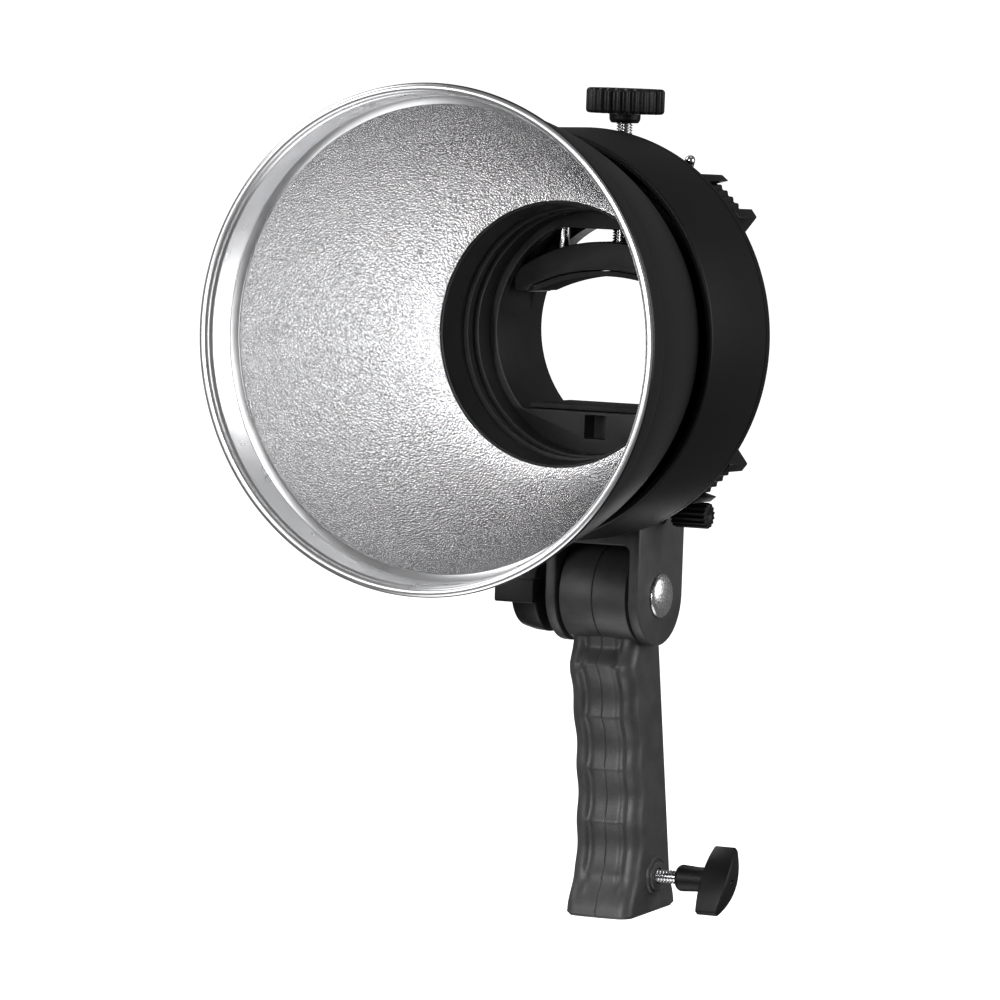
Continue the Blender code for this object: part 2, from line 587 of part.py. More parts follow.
def clamp_knob():
    flutes, outer, waist = 22, 14.3, 13.3
    outline = [on_circle(outer if i % 4 < 2 else waist, 360 * (i + 0.5) / (4 * flutes)) for i in range(4 * flutes)]
    knob = plate("clamp_knob", [outline], (79.3, 89.4), jaw_axis, BLACK, "Z")
    join(knob, turned("clamp_knob_hub", [(0, 80), (5.2, 80), (5.2, 77.1), (4.6, 76.5), (0, 76.5)],
                      jaw_axis, None, "Z", steps=24, ring=False))
    cut(knob, rod("clamp_knob_bore", 3.3, (70, 84.4), jaw_axis, None, "Z"))


# ---------------------------------------------------------------- yoke

def yoke_screws():
    return [(sx * 11.5, YOKE_Y + sy * 12.5) for sx in (-1, 1) for sy in (-1, 1)]


def yoke():
    """Fork under the clamp frame: umbrella bore across the top, ears down to the tilt axis."""
    ear = arc(YOKE_R, 180, 360, 17, (YOKE_Y, -AXIS_UP))
    outline = ear + [(YOKE_Y + YOKE_R, YOKE_TOP), (YOKE_Y - YOKE_R, YOKE_TOP)]
    fork = plate("fork_yoke", [outline], (-YOKE_HALF, YOKE_HALF), optics, GREY, "X")
    cut(fork, plate("fork_gap", [rounded((-YOKE_SLOT, -140), (YOKE_SLOT, ARCH_Z), 2.5)], (0, 60), optics, None))
    cut(fork, rod("umbrella_bore", UMBRELLA_R, (0, 60), optics, None, at=(0, 0, UMBRELLA_Z), steps=24))
    cut(fork, rod("lock_bore", 4.3, (0, 30), optics, None, "X", (0, YOKE_Y, UMBRELLA_Z)))
    cut(fork, rod("bolt_bore", 4.4, (-30, 30), optics, None, "X", (0, YOKE_Y, -AXIS_UP)))
    for i, (x, y) in enumerate(yoke_screws()):
        way = [(0, -50), (1.9, -50), (1.9, -73.4), (2.7, -73.4), (2.7, -80), (0, -80)]
        cut(fork, turned(f"yoke_screw_way_{i}", way, optics, None, "Z", (x, y, 0), 12, False))
        shape = [(0, -46), (1.2, -46), (1.2, -73.7), (2.3, -73.7), (2.3, -76.2), (0, -76.2)]
        turned(f"yoke_screw_{i + 1}", shape, optics, STEEL, "Z", (x, y, 0), 12, False)
    dome = [(0, 22.2), (2.6, 22.0), (5.4, 21.2), (7.4, 20.1), (8.0, 19.3), (4.1, 19.3), (4.1, -34), (0, -34)]
    turned("tilt_bolt", dome, head_axis, CHROME, "X", steps=28, ring=False)
    for side, name in ((-1, "tilt_washer_left"), (1, "tilt_washer_right")):
        span = sorted((side * 13.9, side * 14.5))
        tube(name, 12.0, 4.6, span, head_axis, NYLON, "X", steps=28)


def umbrella_lock():
    """Small fluted screw that clamps an umbrella shaft in the yoke."""
    tube("umbrella_lock_nut", 4.0, 2.4, (9.0, 18.8), optics, STEEL, "X", (0, YOKE_Y, UMBRELLA_Z))
    flutes = 16
    outline = [on_circle(4.8 if i % 2 else 4.3, 360 * i / (2 * flutes)) for i in range(2 * flutes)]
    knob = plate("umbrella_lock_knob", [outline], (24.0, 38.0), umbrella_axis, BLACK, "X")
    cut(knob, rod("umbrella_knob_seat", 2.3, (20, 33.4), umbrella_axis, None, "X", steps=16))
    rod("umbrella_lock_stud", 2.0, (5.4, 33.0), umbrella_axis, CHROME, "X", steps=16)


def tilt_knob():
    """Big wing on the other end of the bolt: it squeezes the fork on the grip's barrel."""
    hub = turned("tilt_knob", [(0, -22.2), (13.0, -22.2), (16.0, -24.5), (15.0, -36.0), (0, -36.0)],
                 tilt_knob_axis, BLACK, "X", steps=32, ring=False)
    bar = block("tilt_knob_bar", (-38.5, -21, -4.2), (-24.0, 21, 4.2), tilt_knob_axis, None)
    soften(bar, 2.0, 2)
    join(hub, bar)
    cut(hub, rod("tilt_knob_seat", 5.9, (-35, -20), tilt_knob_axis, None, "X", steps=24))
    tube("tilt_knob_nut", 5.6, 4.4, (-34.6, -22.4), tilt_knob_axis, BRASS, "X")
    tube("tilt_knob_washer", 9.0, 4.6, (-21.8, -19.4), tilt_knob_axis, STEEL, "X")


grip_parts()
stand_lock()
reflector_dish()
reflector_ring()
drum_housing()
bayonet_socket()
rear_cover()
release_lever()
clamp_frame()
clamp_jaw()
yoke()
umbrella_lock()
tilt_knob()
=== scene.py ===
"""The looks of the handheld flash bracket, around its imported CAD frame.

Shapes are drawn in millimetres, and turn into metres as each mesh is made.
"""
import json
import math

import bmesh
import bpy
from mathutils import Matrix, Vector

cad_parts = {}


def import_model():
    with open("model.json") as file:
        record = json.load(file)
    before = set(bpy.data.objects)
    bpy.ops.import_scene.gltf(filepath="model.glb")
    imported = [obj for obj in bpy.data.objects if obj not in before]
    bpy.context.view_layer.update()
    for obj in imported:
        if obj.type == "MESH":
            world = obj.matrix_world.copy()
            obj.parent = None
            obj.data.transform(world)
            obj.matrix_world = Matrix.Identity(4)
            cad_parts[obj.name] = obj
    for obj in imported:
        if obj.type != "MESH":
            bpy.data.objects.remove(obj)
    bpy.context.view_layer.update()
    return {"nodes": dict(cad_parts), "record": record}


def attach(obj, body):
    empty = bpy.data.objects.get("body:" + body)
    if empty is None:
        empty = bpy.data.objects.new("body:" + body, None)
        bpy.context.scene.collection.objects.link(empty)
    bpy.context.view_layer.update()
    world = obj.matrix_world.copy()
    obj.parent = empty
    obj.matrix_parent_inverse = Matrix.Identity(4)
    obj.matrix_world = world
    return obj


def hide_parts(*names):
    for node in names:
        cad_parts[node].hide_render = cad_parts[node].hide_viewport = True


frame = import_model()

MM = 0.001
RECORD = frame["record"]
JOINTS = {joint["name"]: joint for joint in RECORD["behaviour"]["joints"]}
MOUNTS = {mount["name"]: mount for mount in RECORD["mounts"]}

# GRIP is the frame of what stands still, and OPTICS that of the head, with Y along the optical axis
PIVOT = Vector(JOINTS["head_tilt"]["pos_m"]) / MM
AXIS_BACK = Vector(JOINTS["reflector_twist"]["axis"]).normalized()
AXIS_UP = Vector(MOUNTS["flash_bed"]["axis"]).normalized()
DRUM_BACK = Vector(JOINTS["reflector_twist"]["pos_m"]) / MM      # optical axis at the drum's back plane
GRIP = Matrix.Identity(4)
OPTICS = Matrix.Translation(DRUM_BACK) @ Matrix((
    (1, 0, 0, 0), (0, AXIS_BACK.y, AXIS_UP.y, 0), (0, AXIS_BACK.z, AXIS_UP.z, 0), (0, 0, 0, 1)))
PIVOT_LOCAL = OPTICS.inverted() @ PIVOT                          # the tilt axis as the head sees it

# How the axis of a turned piece, and the outline of a flat one, is laid along X, Y or Z
TURN_TO = {"X": Matrix.Rotation(math.pi / 2, 4, "Y"), "Y": Matrix.Rotation(-math.pi / 2, 4, "X"),
           "Z": Matrix.Identity(4)}
FACE_TO = {"X": Matrix(((0, 0, 1, 0), (1, 0, 0, 0), (0, 1, 0, 0), (0, 0, 0, 1))),
           "Y": Matrix(((1, 0, 0, 0), (0, 0, -1, 0), (0, 1, 0, 0), (0, 0, 0, 1))), "Z": Matrix.Identity(4)}


# ---------------------------------------------------------------- materials

class Nodes:
    """A new material, and short forms for building its node tree."""

    def __init__(self, name):
        self.material = bpy.data.materials.new(name)
        self.material.use_nodes = True
        self.tree = self.material.node_tree
        self.shader = self.tree.nodes["Principled BSDF"]
        self.place = self.add("ShaderNodeTexCoord").outputs["Object"]

    def add(self, kind, **values):
        node = self.tree.nodes.new(kind)
        for key, value in values.items():
            setattr(node, key, value)
        return node

    def link(self, start, end):
        """Joins an output to an input."""
        self.tree.links.new(start, end)

    def noise(self, size, detail=2.0, roughness=0.5, stretch=None):
        """Noise with features of about the given size in millimetres."""
        node = self.add("ShaderNodeTexNoise")
        node.inputs["Scale"].default_value = 1.0 / (size * MM)
        node.inputs["Detail"].default_value = detail
        node.inputs["Roughness"].default_value = roughness
        self.link(self.stretched(stretch) if stretch else self.place, node.inputs["Vector"])
        return node.outputs["Fac"]

    def stretched(self, scale):
        """The place on the object, scaled along each axis."""
        node = self.add("ShaderNodeMapping")
        node.inputs["Scale"].default_value = scale
        self.link(self.place, node.inputs["Vector"])
        return node.outputs["Vector"]

    def cells(self, size, smooth=0.4):
        """Round cells of about the given size in millimetres."""
        node = self.add("ShaderNodeTexVoronoi", feature="SMOOTH_F1")
        node.inputs["Scale"].default_value = 1.0 / (size * MM)
        node.inputs["Smoothness"].default_value = smooth
        self.link(self.place, node.inputs["Vector"])
        return node.outputs["Distance"]

    def remap(self, value, low, high, start=0.0, end=1.0):
        """Runs from low to high while the value runs from start to end."""
        node = self.add("ShaderNodeMapRange")
        for key, number in (("From Min", start), ("From Max", end), ("To Min", low), ("To Max", high)):
            node.inputs[key].default_value = number
        self.link(value, node.inputs["Value"])
        return node.outputs["Result"]

    def blend(self, factor, first, second):
        """The first colour where the factor is 0, and the second where it is 1."""
        node = self.add("ShaderNodeMix", data_type="RGBA")
        colour_a, colour_b, result = 6, 7, 2       # the colour sockets of a Mix node
        self.link(factor, node.inputs["Factor"])
        node.inputs[colour_a].default_value = (*first, 1)
        node.inputs[colour_b].default_value = (*second, 1)
        return node.outputs[result]

    def sum(self, first, second, weight=1.0):
        """The first value plus the second times its weight."""
        node = self.add("ShaderNodeMath", operation="MULTIPLY_ADD")
        self.link(second, node.inputs[0])
        node.inputs[1].default_value = weight
        self.link(first, node.inputs[2])
        return node.outputs["Value"]

    def bump(self, height, depth):
        """Bump whose height runs over the given depth in millimetres."""
        node = self.add("ShaderNodeBump")
        node.inputs["Distance"].default_value = depth * MM
        self.link(height, node.inputs["Height"])
        self.link(node.outputs["Normal"], self.shader.inputs["Normal"])

    def edges(self, start, end):
        """Painted highlight on convex edges: 0 up to the pointiness at start and 1 from the one at end. A
        flat has 0.5.
        """
        geometry = self.add("ShaderNodeNewGeometry")
        return self.remap(geometry.outputs["Pointiness"], 0.0, 1.0, start, end)

    def set(self, **values):
        """Gives sockets of the shader a number, a colour or a link."""
        for key, value in values.items():
            socket = self.shader.inputs[key.replace("_", " ")]
            if isinstance(value, bpy.types.NodeSocket):
                self.link(value, socket)
            elif isinstance(value, tuple):
                socket.default_value = (*value, 1)
            else:
                socket.default_value = value


def plastic(name, dark, light, roughness, grain, depth, blotch=9.0, specular=0.5):
    """Moulded plastic: a fine grain, faint blotches of tone and gloss, and a painted highlight that colours
    convex edges a little lighter.
    """
    n = Nodes(name)
    # the edge term is a painted highlight: convex edges and crests get a lighter colour
    tone = n.sum(n.remap(n.noise(blotch, 3), 0.0, 0.7, 0.3, 0.7), n.edges(0.52, 0.60), 0.8)
    n.set(Base_Color=n.blend(tone, dark, light))
    n.set(Roughness=n.remap(n.sum(n.noise(grain * 3, 2), n.noise(blotch * 2, 2), 0.6), roughness - 0.07,
                            roughness + 0.08, 0.3, 1.2))
    n.shader.inputs["Specular IOR Level"].default_value = specular
    n.bump(n.sum(n.noise(grain, 3, 0.6), n.cells(grain * 1.7), 0.5), depth)
    return n.material


def metal(name, dark, light, roughness, smudge=4.0, spread=0.05, brushed=None, depth=0.002):
    """Bare or plated metal: tone and gloss vary over smudges, and the surface is faintly uneven."""
    n = Nodes(name)
    n.set(Base_Color=n.blend(n.noise(smudge, 3), dark, light), Metallic=1.0)
    n.set(Roughness=n.remap(n.noise(smudge * 0.6, 4), roughness - spread, roughness + spread, 0.3, 0.7))
    n.bump(n.noise(0.35, 2, stretch=brushed) if brushed else n.noise(1.1, 3), depth)
    return n.material


def pebbled_silver():
    """Embossed reflector sheet: close pebbles about a millimetre across."""
    n = Nodes("pebbled_silver")
    pebbles = n.sum(n.noise(0.68, 1.5, 0.55), n.cells(0.95, 0.6), -0.55)
    n.set(Base_Color=n.blend(n.noise(14, 3), (0.80, 0.80, 0.81), (0.90, 0.90, 0.91)), Metallic=1.0)
    n.set(Roughness=n.remap(n.noise(0.8, 2), 0.10, 0.24, 0.3, 0.7))
    n.bump(pebbles, 0.55)
    return n.material


# Plastics: two colours, roughness, grain, bump depth and blotches in millimetres, specular level.
# Metals: two colours, roughness, smudges in millimetres, spread of the roughness.
SILVER = pebbled_silver()
POLISHED = metal("polished_aluminium", (0.88, 0.88, 0.89), (0.94, 0.94, 0.95), 0.30, 12, 0.03, (1, 1, 1))
PAINT = plastic("black_paint", (0.003, 0.003, 0.003), (0.007, 0.007, 0.007), 0.36, 0.30, 0.012, 18, 0.45)
SATIN = plastic("satin_black_plastic", (0.003, 0.003, 0.003), (0.006, 0.006, 0.006), 0.42, 0.22, 0.010, 16,
                0.3)
BLACK = plastic("black_plastic", (0.004, 0.004, 0.004), (0.010, 0.010, 0.010), 0.42, 0.20, 0.012, 7, 0.34)
GREY = plastic("grained_grey_plastic", (0.050, 0.050, 0.051), (0.088, 0.088, 0.089), 0.39, 0.34, 0.050, 8,
               0.6)
CHROME = metal("chrome", (0.72, 0.72, 0.74), (0.86, 0.86, 0.87), 0.11, 2.2)
BOLT = metal("mottled_chrome", (0.66, 0.66, 0.67), (0.98, 0.98, 0.98), 0.30, 1.3, 0.12, depth=0.08)
ZINC = metal("zinc_plate", (0.40, 0.40, 0.41), (0.60, 0.60, 0.60), 0.34, 1.8)
BLACKENED = metal("blackened_steel", (0.03, 0.03, 0.03), (0.08, 0.08, 0.08), 0.42, 1.8)
BRASS = metal("brass", (0.62, 0.45, 0.20), (0.76, 0.58, 0.29), 0.30, 2.0)
RUBBER = plastic("rubber", (0.010, 0.010, 0.010), (0.020, 0.020, 0.020), 0.82, 0.35, 0.020, 5, 0.3)
NYLON = plastic("nylon", (0.52, 0.52, 0.49), (0.64, 0.64, 0.60), 0.46, 0.4, 0.006, 6)


# ---------------------------------------------------------------- mesh tools

def smooth(t):
    """A soft step from 0 at 0 to 1 at 1."""
    t = min(max(t, 0.0), 1.0)
    return t * t * (3 - 2 * t)


def on_circle(radius, degrees):
    """The point of a circle at an angle."""
    return radius * math.cos(math.radians(degrees)), radius * math.sin(math.radians(degrees))


def arc(radius, start, end, count, centre=(0, 0)):
    """Points along a circle from one angle to another, in degrees."""
    turns = [math.radians(start + (end - start) * i / (count - 1)) for i in range(count)]
    return [(centre[0] + radius * math.cos(t), centre[1] + radius * math.sin(t)) for t in turns]


def rounded(low, high, radius, count=9):
    """A rectangle's outline with round corners."""
    corners = [((high[0] - radius, high[1] - radius), 0), ((low[0] + radius, high[1] - radius), 90),
               ((low[0] + radius, low[1] + radius), 180), ((high[0] - radius, low[1] + radius), 270)]
    return [p for centre, start in corners for p in arc(radius, start, start + 90, count, centre)]


def softened(points, radius, steps=4, ring=True):
    """The same outline with its corners rounded, by up to half of each side."""
    points = [Vector(p) for p in points]
    result = []
    for i, here in enumerate(points):
        before, after = points[i - 1], points[(i + 1) % len(points)]
        if not ring and i in (0, len(points) - 1):
            result.append(here)
            continue
        back, on = before - here, after - here
        if back.length < 1e-6 or on.length < 1e-6 or back.angle(-on) < math.radians(12):
            result.append(here)
            continue
        reach = min(radius, back.length * 0.45, on.length * 0.45)
        start, end = here + back.normalized() * reach, here + on.normalized() * reach
        for k in range(steps + 1):
            t = k / steps
            result.append(start * (1 - t) ** 2 + here * 2 * t * (1 - t) + end * t * t)
    return [tuple(p) for p in result]


def skin(bm, rings):
    """A closed surface over rings of equally many points, with a flat face at both ends."""
    count = len(rings[0])
    for a, b in zip(rings, rings[1:]):
        for i in range(count):
            j = (i + 1) % count
            bm.faces.new((a[i], a[j], b[j], b[i]))
    bm.faces.new(rings[0])
    bm.faces.new(rings[-1])


def shaped(build, name, frame_matrix):
    """An object whose mesh, made by build in millimetres, is laid in the row's frame."""
    bm = bmesh.new()
    build(bm)
    bmesh.ops.remove_doubles(bm, verts=bm.verts, dist=1e-4)
    bmesh.ops.recalc_face_normals(bm, faces=bm.faces)
    bmesh.ops.transform(bm, matrix=Matrix.Scale(MM, 4) @ frame_matrix, verts=bm.verts)
    mesh = bpy.data.meshes.new(name)
    bm.to_mesh(mesh)
    bm.free()
    piece = bpy.data.objects.new(name, mesh)
    bpy.context.scene.collection.objects.link(piece)
    return piece


def lathe(name, profile, frame_matrix, axis="Y", at=(0, 0, 0), segments=96, ring=True, corner=0.3):
    """A turned piece with (radius, place) points. Its sharp corners are rounded."""
    profile = softened(profile, corner, 3, ring) if corner else profile

    def build(bm):
        rings = []
        for r, h in profile:
            if r < 1e-6:
                rings.append([bm.verts.new((0, 0, h))])
            else:
                rings.append([bm.verts.new((*on_circle(r, 360 * i / segments), h)) for i in range(segments)])
        pairs = list(zip(rings, rings[1:])) + ([(rings[-1], rings[0])] if ring else [])
        for a, b in pairs:
            for i in range(segments):
                j = (i + 1) % segments
                corners = [a[i % len(a)], a[j % len(a)], b[j % len(b)], b[i % len(b)]]
                unique = list(dict.fromkeys(corners))
                if len(unique) > 2:
                    bm.faces.new(unique)

    return shaped(build, name, frame_matrix @ Matrix.Translation(at) @ TURN_TO[axis])


def rod(name, radius, span, frame_matrix, axis="Y", at=(0, 0, 0), segments=48, corner=0.25):
    """A cylinder between two places along its axis."""
    low, high = span
    profile = [(0, high), (radius, high), (radius, low), (0, low)]
    return lathe(name, profile, frame_matrix, axis, at, segments, False, corner)


def prism(name, outline, span, frame_matrix, face="Y", at=(0, 0, 0), turn=0.0):
    """A flat piece with a closed outline between two places along its axis."""
    low, high = span
    if face == "Y":
        low, high = -high, -low        # the outline's own third axis runs towards -Y

    def build(bm):
        base = bm.faces.new([bm.verts.new((u, v, low)) for u, v in outline])
        top = bmesh.ops.extrude_face_region(bm, geom=[base])
        verts = [g for g in top["geom"] if isinstance(g, bmesh.types.BMVert)]
        bmesh.ops.translate(bm, vec=(0, 0, high - low), verts=verts)

    place = Matrix.Translation(at) @ FACE_TO[face] @ Matrix.Rotation(turn, 4, "Z")
    return shaped(build, name, frame_matrix @ place)


def block(name, low, high, frame_matrix):
    """A box between two corners."""
    middle = (Vector(low) + Vector(high)) / 2
    size = Vector(high) - Vector(low)

    def build(bm):
        bmesh.ops.create_cube(bm, size=1)
        bmesh.ops.scale(bm, vec=size, verts=bm.verts)

    return shaped(build, name, frame_matrix @ Matrix.Translation(middle))


def threaded(name, radius, pitch, span, frame_matrix, axis, at=(0, 0, 0)):
    """A screw thread: a cylinder whose radius follows a helix and fades out at both ends."""
    low, high = span
    around, per_turn, plain_end = 40, 10, 0.8
    depth, chamfer = 0.61 * pitch, 0.35 * pitch
    count = max(4, round((high - low) / pitch * per_turn))

    def build(bm):
        rings = []
        for k in range(count + 1):
            h = low + (high - low) * k / count
            fade = min(1.0, (h - low) / plain_end, (high - h) / plain_end)
            ring = []
            for i in range(around):
                phase = (h / pitch - i / around) % 1.0
                valley = min(max(1.5 * abs(2 * phase - 1) - 0.25, 0.0), 1.0)
                r = radius - depth * valley * max(fade, 0.0) - chamfer * (1 - min(1.0, fade))
                ring.append(bm.verts.new((*on_circle(r, 360 * i / around), h)))
            rings.append(ring)
        skin(bm, rings)

    return shaped(build, name, frame_matrix @ Matrix.Translation(at) @ TURN_TO[axis])


def settle(piece):
    """Replaces a piece's mesh by what its modifiers make, and drops them."""
    bpy.context.view_layer.update()
    graph = bpy.context.evaluated_depsgraph_get()
    mesh = bpy.data.meshes.new_from_object(piece.evaluated_get(graph))
    piece.modifiers.clear()
    piece.data = mesh
    return piece


def combined(piece, tools, operation):
    """Cuts a piece with closed tools, or joins them to it. The tools are used up."""
    for tool in tools:
        step = piece.modifiers.new("boolean", "BOOLEAN")
        step.operation = operation
        step.object = tool
        step.solver = "EXACT"
    settle(piece)
    for tool in tools:
        bpy.data.objects.remove(tool)
    return piece


def cut(piece, *tools):
    return combined(piece, tools, "DIFFERENCE")


def join(piece, *tools):
    return combined(piece, tools, "UNION")


def bevel(piece, width, segments=3, angle=38):
    """Rounds every edge that turns by more than the angle."""
    step = piece.modifiers.new("bevel", "BEVEL")
    step.width = width * MM
    step.segments = segments
    step.limit_method = "ANGLE"
    step.angle_limit = math.radians(angle)
    step.use_clamp_overlap = True
    return settle(piece)


def wear(piece, body, materials, replaced, sharp=32):
    """Gives a piece its material, its body and the CAD nodes that it stands for.

    A piece with a list of materials keeps the material index that each of its faces has.
    """
    mesh = piece.data
    several = isinstance(materials, list)
    indices = [face.material_index for face in mesh.polygons]
    mesh.materials.clear()
    for material in materials if several else [materials]:
        mesh.materials.append(material)
    if several:
        mesh.polygons.foreach_set("material_index", indices)
    mesh.shade_smooth()
    mesh.set_sharp_from_angle(angle=math.radians(sharp))
    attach(piece, body)
    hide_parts(*replaced)


# ---------------------------------------------------------------- reflector

REFLECTOR_R, RIM_Y, NECK_R, NECK_Y = 90.0, -126.7, 48.0, -21.7
RIM_END, COLLAR_END, BOWL_START, SHEET, BEAD_R = 3.6, 18.2, 20.0, 1.2, 1.75


def bowl(t):
    """Radius and place of the bowl's inside, from the collar (0) to the neck (1)."""
    power = 1.5
    top, low = REFLECTOR_R - 7.0, NECK_R + 0.3
    start, end = RIM_Y + BOWL_START, NECK_Y - 0.9
    u = math.sin(t * math.pi / 2) ** (2 / power)
    return low + (top - low) * (1 - u ** power) ** (1 / power), start + (end - start) * u


def reflector_dish():
    """One spun sheet: a rolled bead, a polished collar, the pebbled bowl, and paint on the outside."""
    collar = [(REFLECTOR_R - inset, RIM_Y + depth) for inset, depth in (
        (3.45, 1.9), (3.2, 2.5), (3.9, 3.0), (4.2, 3.6), (4.5, 14.6), (4.8, 15.2), (6.9, 16.2), (7.25, 16.5),
        (7.3, 16.9), (6.75, 17.1), (6.7, 17.9), (7.0, 18.3))]
    inside = collar + [bowl(i / 64) for i in range(65)]
    outside = []
    for before, here, after in zip(inside[:1] + inside, inside, inside[1:] + inside[-1:]):
        along = Vector((after[0] - before[0], after[1] - before[1])).normalized()
        outside.append((here[0] + along.y * SHEET, here[1] - along.x * SHEET))
    ridges = [(REFLECTOR_R - inset, RIM_Y + depth) for inset, depth in (
        (2.9, 4.2), (2.3, 4.8), (2.3, 6.2), (3.0, 6.8), (3.1, 14.0), (3.6, 15.6))]
    outside = ridges + outside[len(collar):-1] + [(inside[-1][0], inside[-1][1] + SHEET)]
    bead = arc(BEAD_R, -200, 110, 24, (REFLECTOR_R - BEAD_R, RIM_Y + BEAD_R))
    dish = lathe("reflector_bowl", outside[::-1] + bead[::-1] + inside, OPTICS, segments=288, corner=0)

    polished, painted = 1, 2
    inverse = OPTICS.inverted()
    for face in dish.data.polygons:
        middle = inverse @ (face.center / MM)
        normal = inverse.to_3x3() @ face.normal
        outward = (normal.x * middle.x + normal.z * middle.z) / math.hypot(middle.x, middle.z)
        if middle.y < RIM_Y + RIM_END and outward < 0.75:
            face.material_index = polished
        elif outward > 0.02 or (middle.y > NECK_Y - 1.5 and normal.y > 0.5):
            face.material_index = painted
        elif middle.y < RIM_Y + COLLAR_END:
            face.material_index = polished
    wear(dish, "reflector", [SILVER, POLISHED, PAINT], ["reflector_dish"], 30)


# Bayonet: three lugs on the reflector turn behind three claws on the head, and a pin locks them
LUG_R, LUG_ARC, TWIST, CLAW_R, BORE_R = 53.4, 34.0, 20.0, 50.1, 45.0
LEVER_ANGLE, LEVER_R, PIN_WAY = 60.0, 57.5, 2.4
LUG_MIDDLES = (90, 210, 330)


def reflector_ring():
    """The painted ring behind the neck, with its lugs and the slot for the lock pin."""
    profile = [(61.0, -17.7), (61.0, -20.4), (NECK_R, -20.4), (NECK_R, -22.4), (NECK_R - 0.7, -22.4),
               (NECK_R - 1.0, -19.0), (46.0, -12.4), (45.9, -11.2), (46.6, -10.6), (46.6, -7.6), (49.5, -7.6),
               (49.5, -17.7)]
    ring = lathe("reflector_mount_ring", profile, OPTICS, segments=180, corner=0.35)
    for middle in LUG_MIDDLES:
        span = (middle - LUG_ARC / 2, middle + LUG_ARC / 2)
        outline = softened(arc(LUG_R, *span, 20) + arc(48.5, *reversed(span), 20), 1.2)
        join(ring, bevel(prism("lug", outline, (-10.6, -7.9), OPTICS), 0.3, 2))
    span = (LEVER_ANGLE - 3, LEVER_ANGLE + TWIST + 3)
    slot = arc(LEVER_R + PIN_WAY, *span, 16) + arc(LEVER_R - PIN_WAY, *reversed(span), 16)
    cut(ring, prism("slot", slot, (-22, -16), OPTICS))
    wear(ring, "reflector", PAINT, ["reflector_ring"])


# ---------------------------------------------------------------- drum, bayonet and cover

DRUM_R, DRUM_FRONT, DRUM_WALL = 74.7, -49.0, 2.6
COVER_BACK, FRAME_BACK, FRAME_R = 9.7, 46.0, 50.0
COVER_SCREWS = [(sx * 47.5, sz * 46.0) for sx in (1, -1) for sz in (1, -1)]


def drum_housing():
    """The drum's shell, with a shallow line round its back edge."""
    inner = DRUM_R - DRUM_WALL
    profile = [(DRUM_R - 2.0, 0)] + arc(2.0, 90, 0, 8, (DRUM_R - 2.0, -2.0))
    profile += [(DRUM_R, -4.2), (DRUM_R - 0.25, -4.4), (DRUM_R - 0.25, -4.9), (DRUM_R, -5.1)]
    profile += [(DRUM_R, DRUM_FRONT + 1.0)] + arc(1.0, 0, -90, 6, (DRUM_R - 1.0, DRUM_FRONT + 1.0))
    profile += [(inner + 0.4, DRUM_FRONT), (inner, DRUM_FRONT + 0.6), (inner, -3.2), (BORE_R + 1.3, -3.2),
                (BORE_R + 1.3, 0)]
    drum = lathe("drum_shell", profile, OPTICS, segments=240, corner=0)
    wear(drum, "head", SATIN, ["drum_housing"])


def bayonet_socket():
    """The claw ring in the drum: its gates let the lugs in, a twist away from where they lock."""
    profile = [(62.0, -3.5), (62.0, -17.3), (CLAW_R, -17.3), (CLAW_R, -11.3), (LUG_R + 0.6, -11.3),
               (LUG_R + 0.6, -6.8), (BORE_R, -6.8), (BORE_R, -3.5)]
    socket = lathe("bayonet_claw_ring", profile, OPTICS, segments=180, corner=0.3)
    for middle in LUG_MIDDLES:
        span = (middle - TWIST - LUG_ARC / 2 - 1, middle - TWIST + LUG_ARC / 2 + 1)
        gate = arc(LUG_R + 0.25, *span, 14) + arc(CLAW_R - 2, *reversed(span), 14)
        cut(socket, prism("gate", gate, (-19, -10.5), OPTICS))
    x, z = on_circle(LEVER_R, LEVER_ANGLE)
    cut(socket, rod("pin_way", PIN_WAY, (-19, -2), OPTICS, at=(x, 0, z)))
    wear(socket, "head", BLACK, ["bayonet_socket"])


def corner_outline(sx, sz):
    """A corner bracket: two fins that reach the drum's radius, and a toothed arc between them."""
    recess, outer = 70.8, DRUM_R - 0.1
    fin_top, fin_edge, fin_low, shelf, tip = 59.3, 57.2, 56.0, 47.4, 44.6
    start = math.degrees(math.asin(fin_low / recess))
    end = math.degrees(math.asin(shelf / recess))
    teeth, fine = 4, 10
    count = teeth * fine
    wave = []
    for i in range(count + 1):
        radius = recess + 0.4 - 0.45 * math.cos(2 * math.pi * i / fine)
        wave.append(on_circle(radius, start + (end - start) * i / count))

    def at_rim(z):
        return math.sqrt(outer ** 2 - z ** 2), z

    high = [(36.4, fin_top), at_rim(fin_top), at_rim(fin_edge), (wave[0][0], fin_low)]
    low = [at_rim(shelf), at_rim(tip), (54.6, 38.0), (44.0, 30.0), (30.0, 42.0), (36.4, 52.0)]
    points = softened(high, 0.5, 3, False) + wave[1:] + softened(low, 0.5, 3, False)
    points = [(sx * x, sz * z) for x, z in points]
    return points if sx * sz < 0 else list(reversed(points))


def rear_cover():
    """The ring behind the drum, with a toothed bracket at each of its four corners."""
    front, inner = 0.3, BORE_R - 0.6
    profile = [(62.0, COVER_BACK), (63.0, COVER_BACK - 1), (63.0, front), (inner, front), (inner, COVER_BACK)]
    cover = lathe("rear_cover_ring", profile, OPTICS, segments=160, corner=0.5)
    for sx, sz in ((1, 1), (-1, 1), (1, -1), (-1, -1)):
        join(cover, bevel(prism("corner", corner_outline(sx, sz), (front, 15.0), OPTICS), 0.45, 2, 50))
    for x, z in COVER_SCREWS:
        cut(cover, rod("seat", 3.5, (12, 16), OPTICS, at=(x, 0, z), corner=0))
    x, z = on_circle(LEVER_R, LEVER_ANGLE)
    cut(cover, rod("pin_way", PIN_WAY, (-1, 12), OPTICS, at=(x, 0, z), corner=0))
    wear(cover, "head", BLACK, ["rear_cover"])


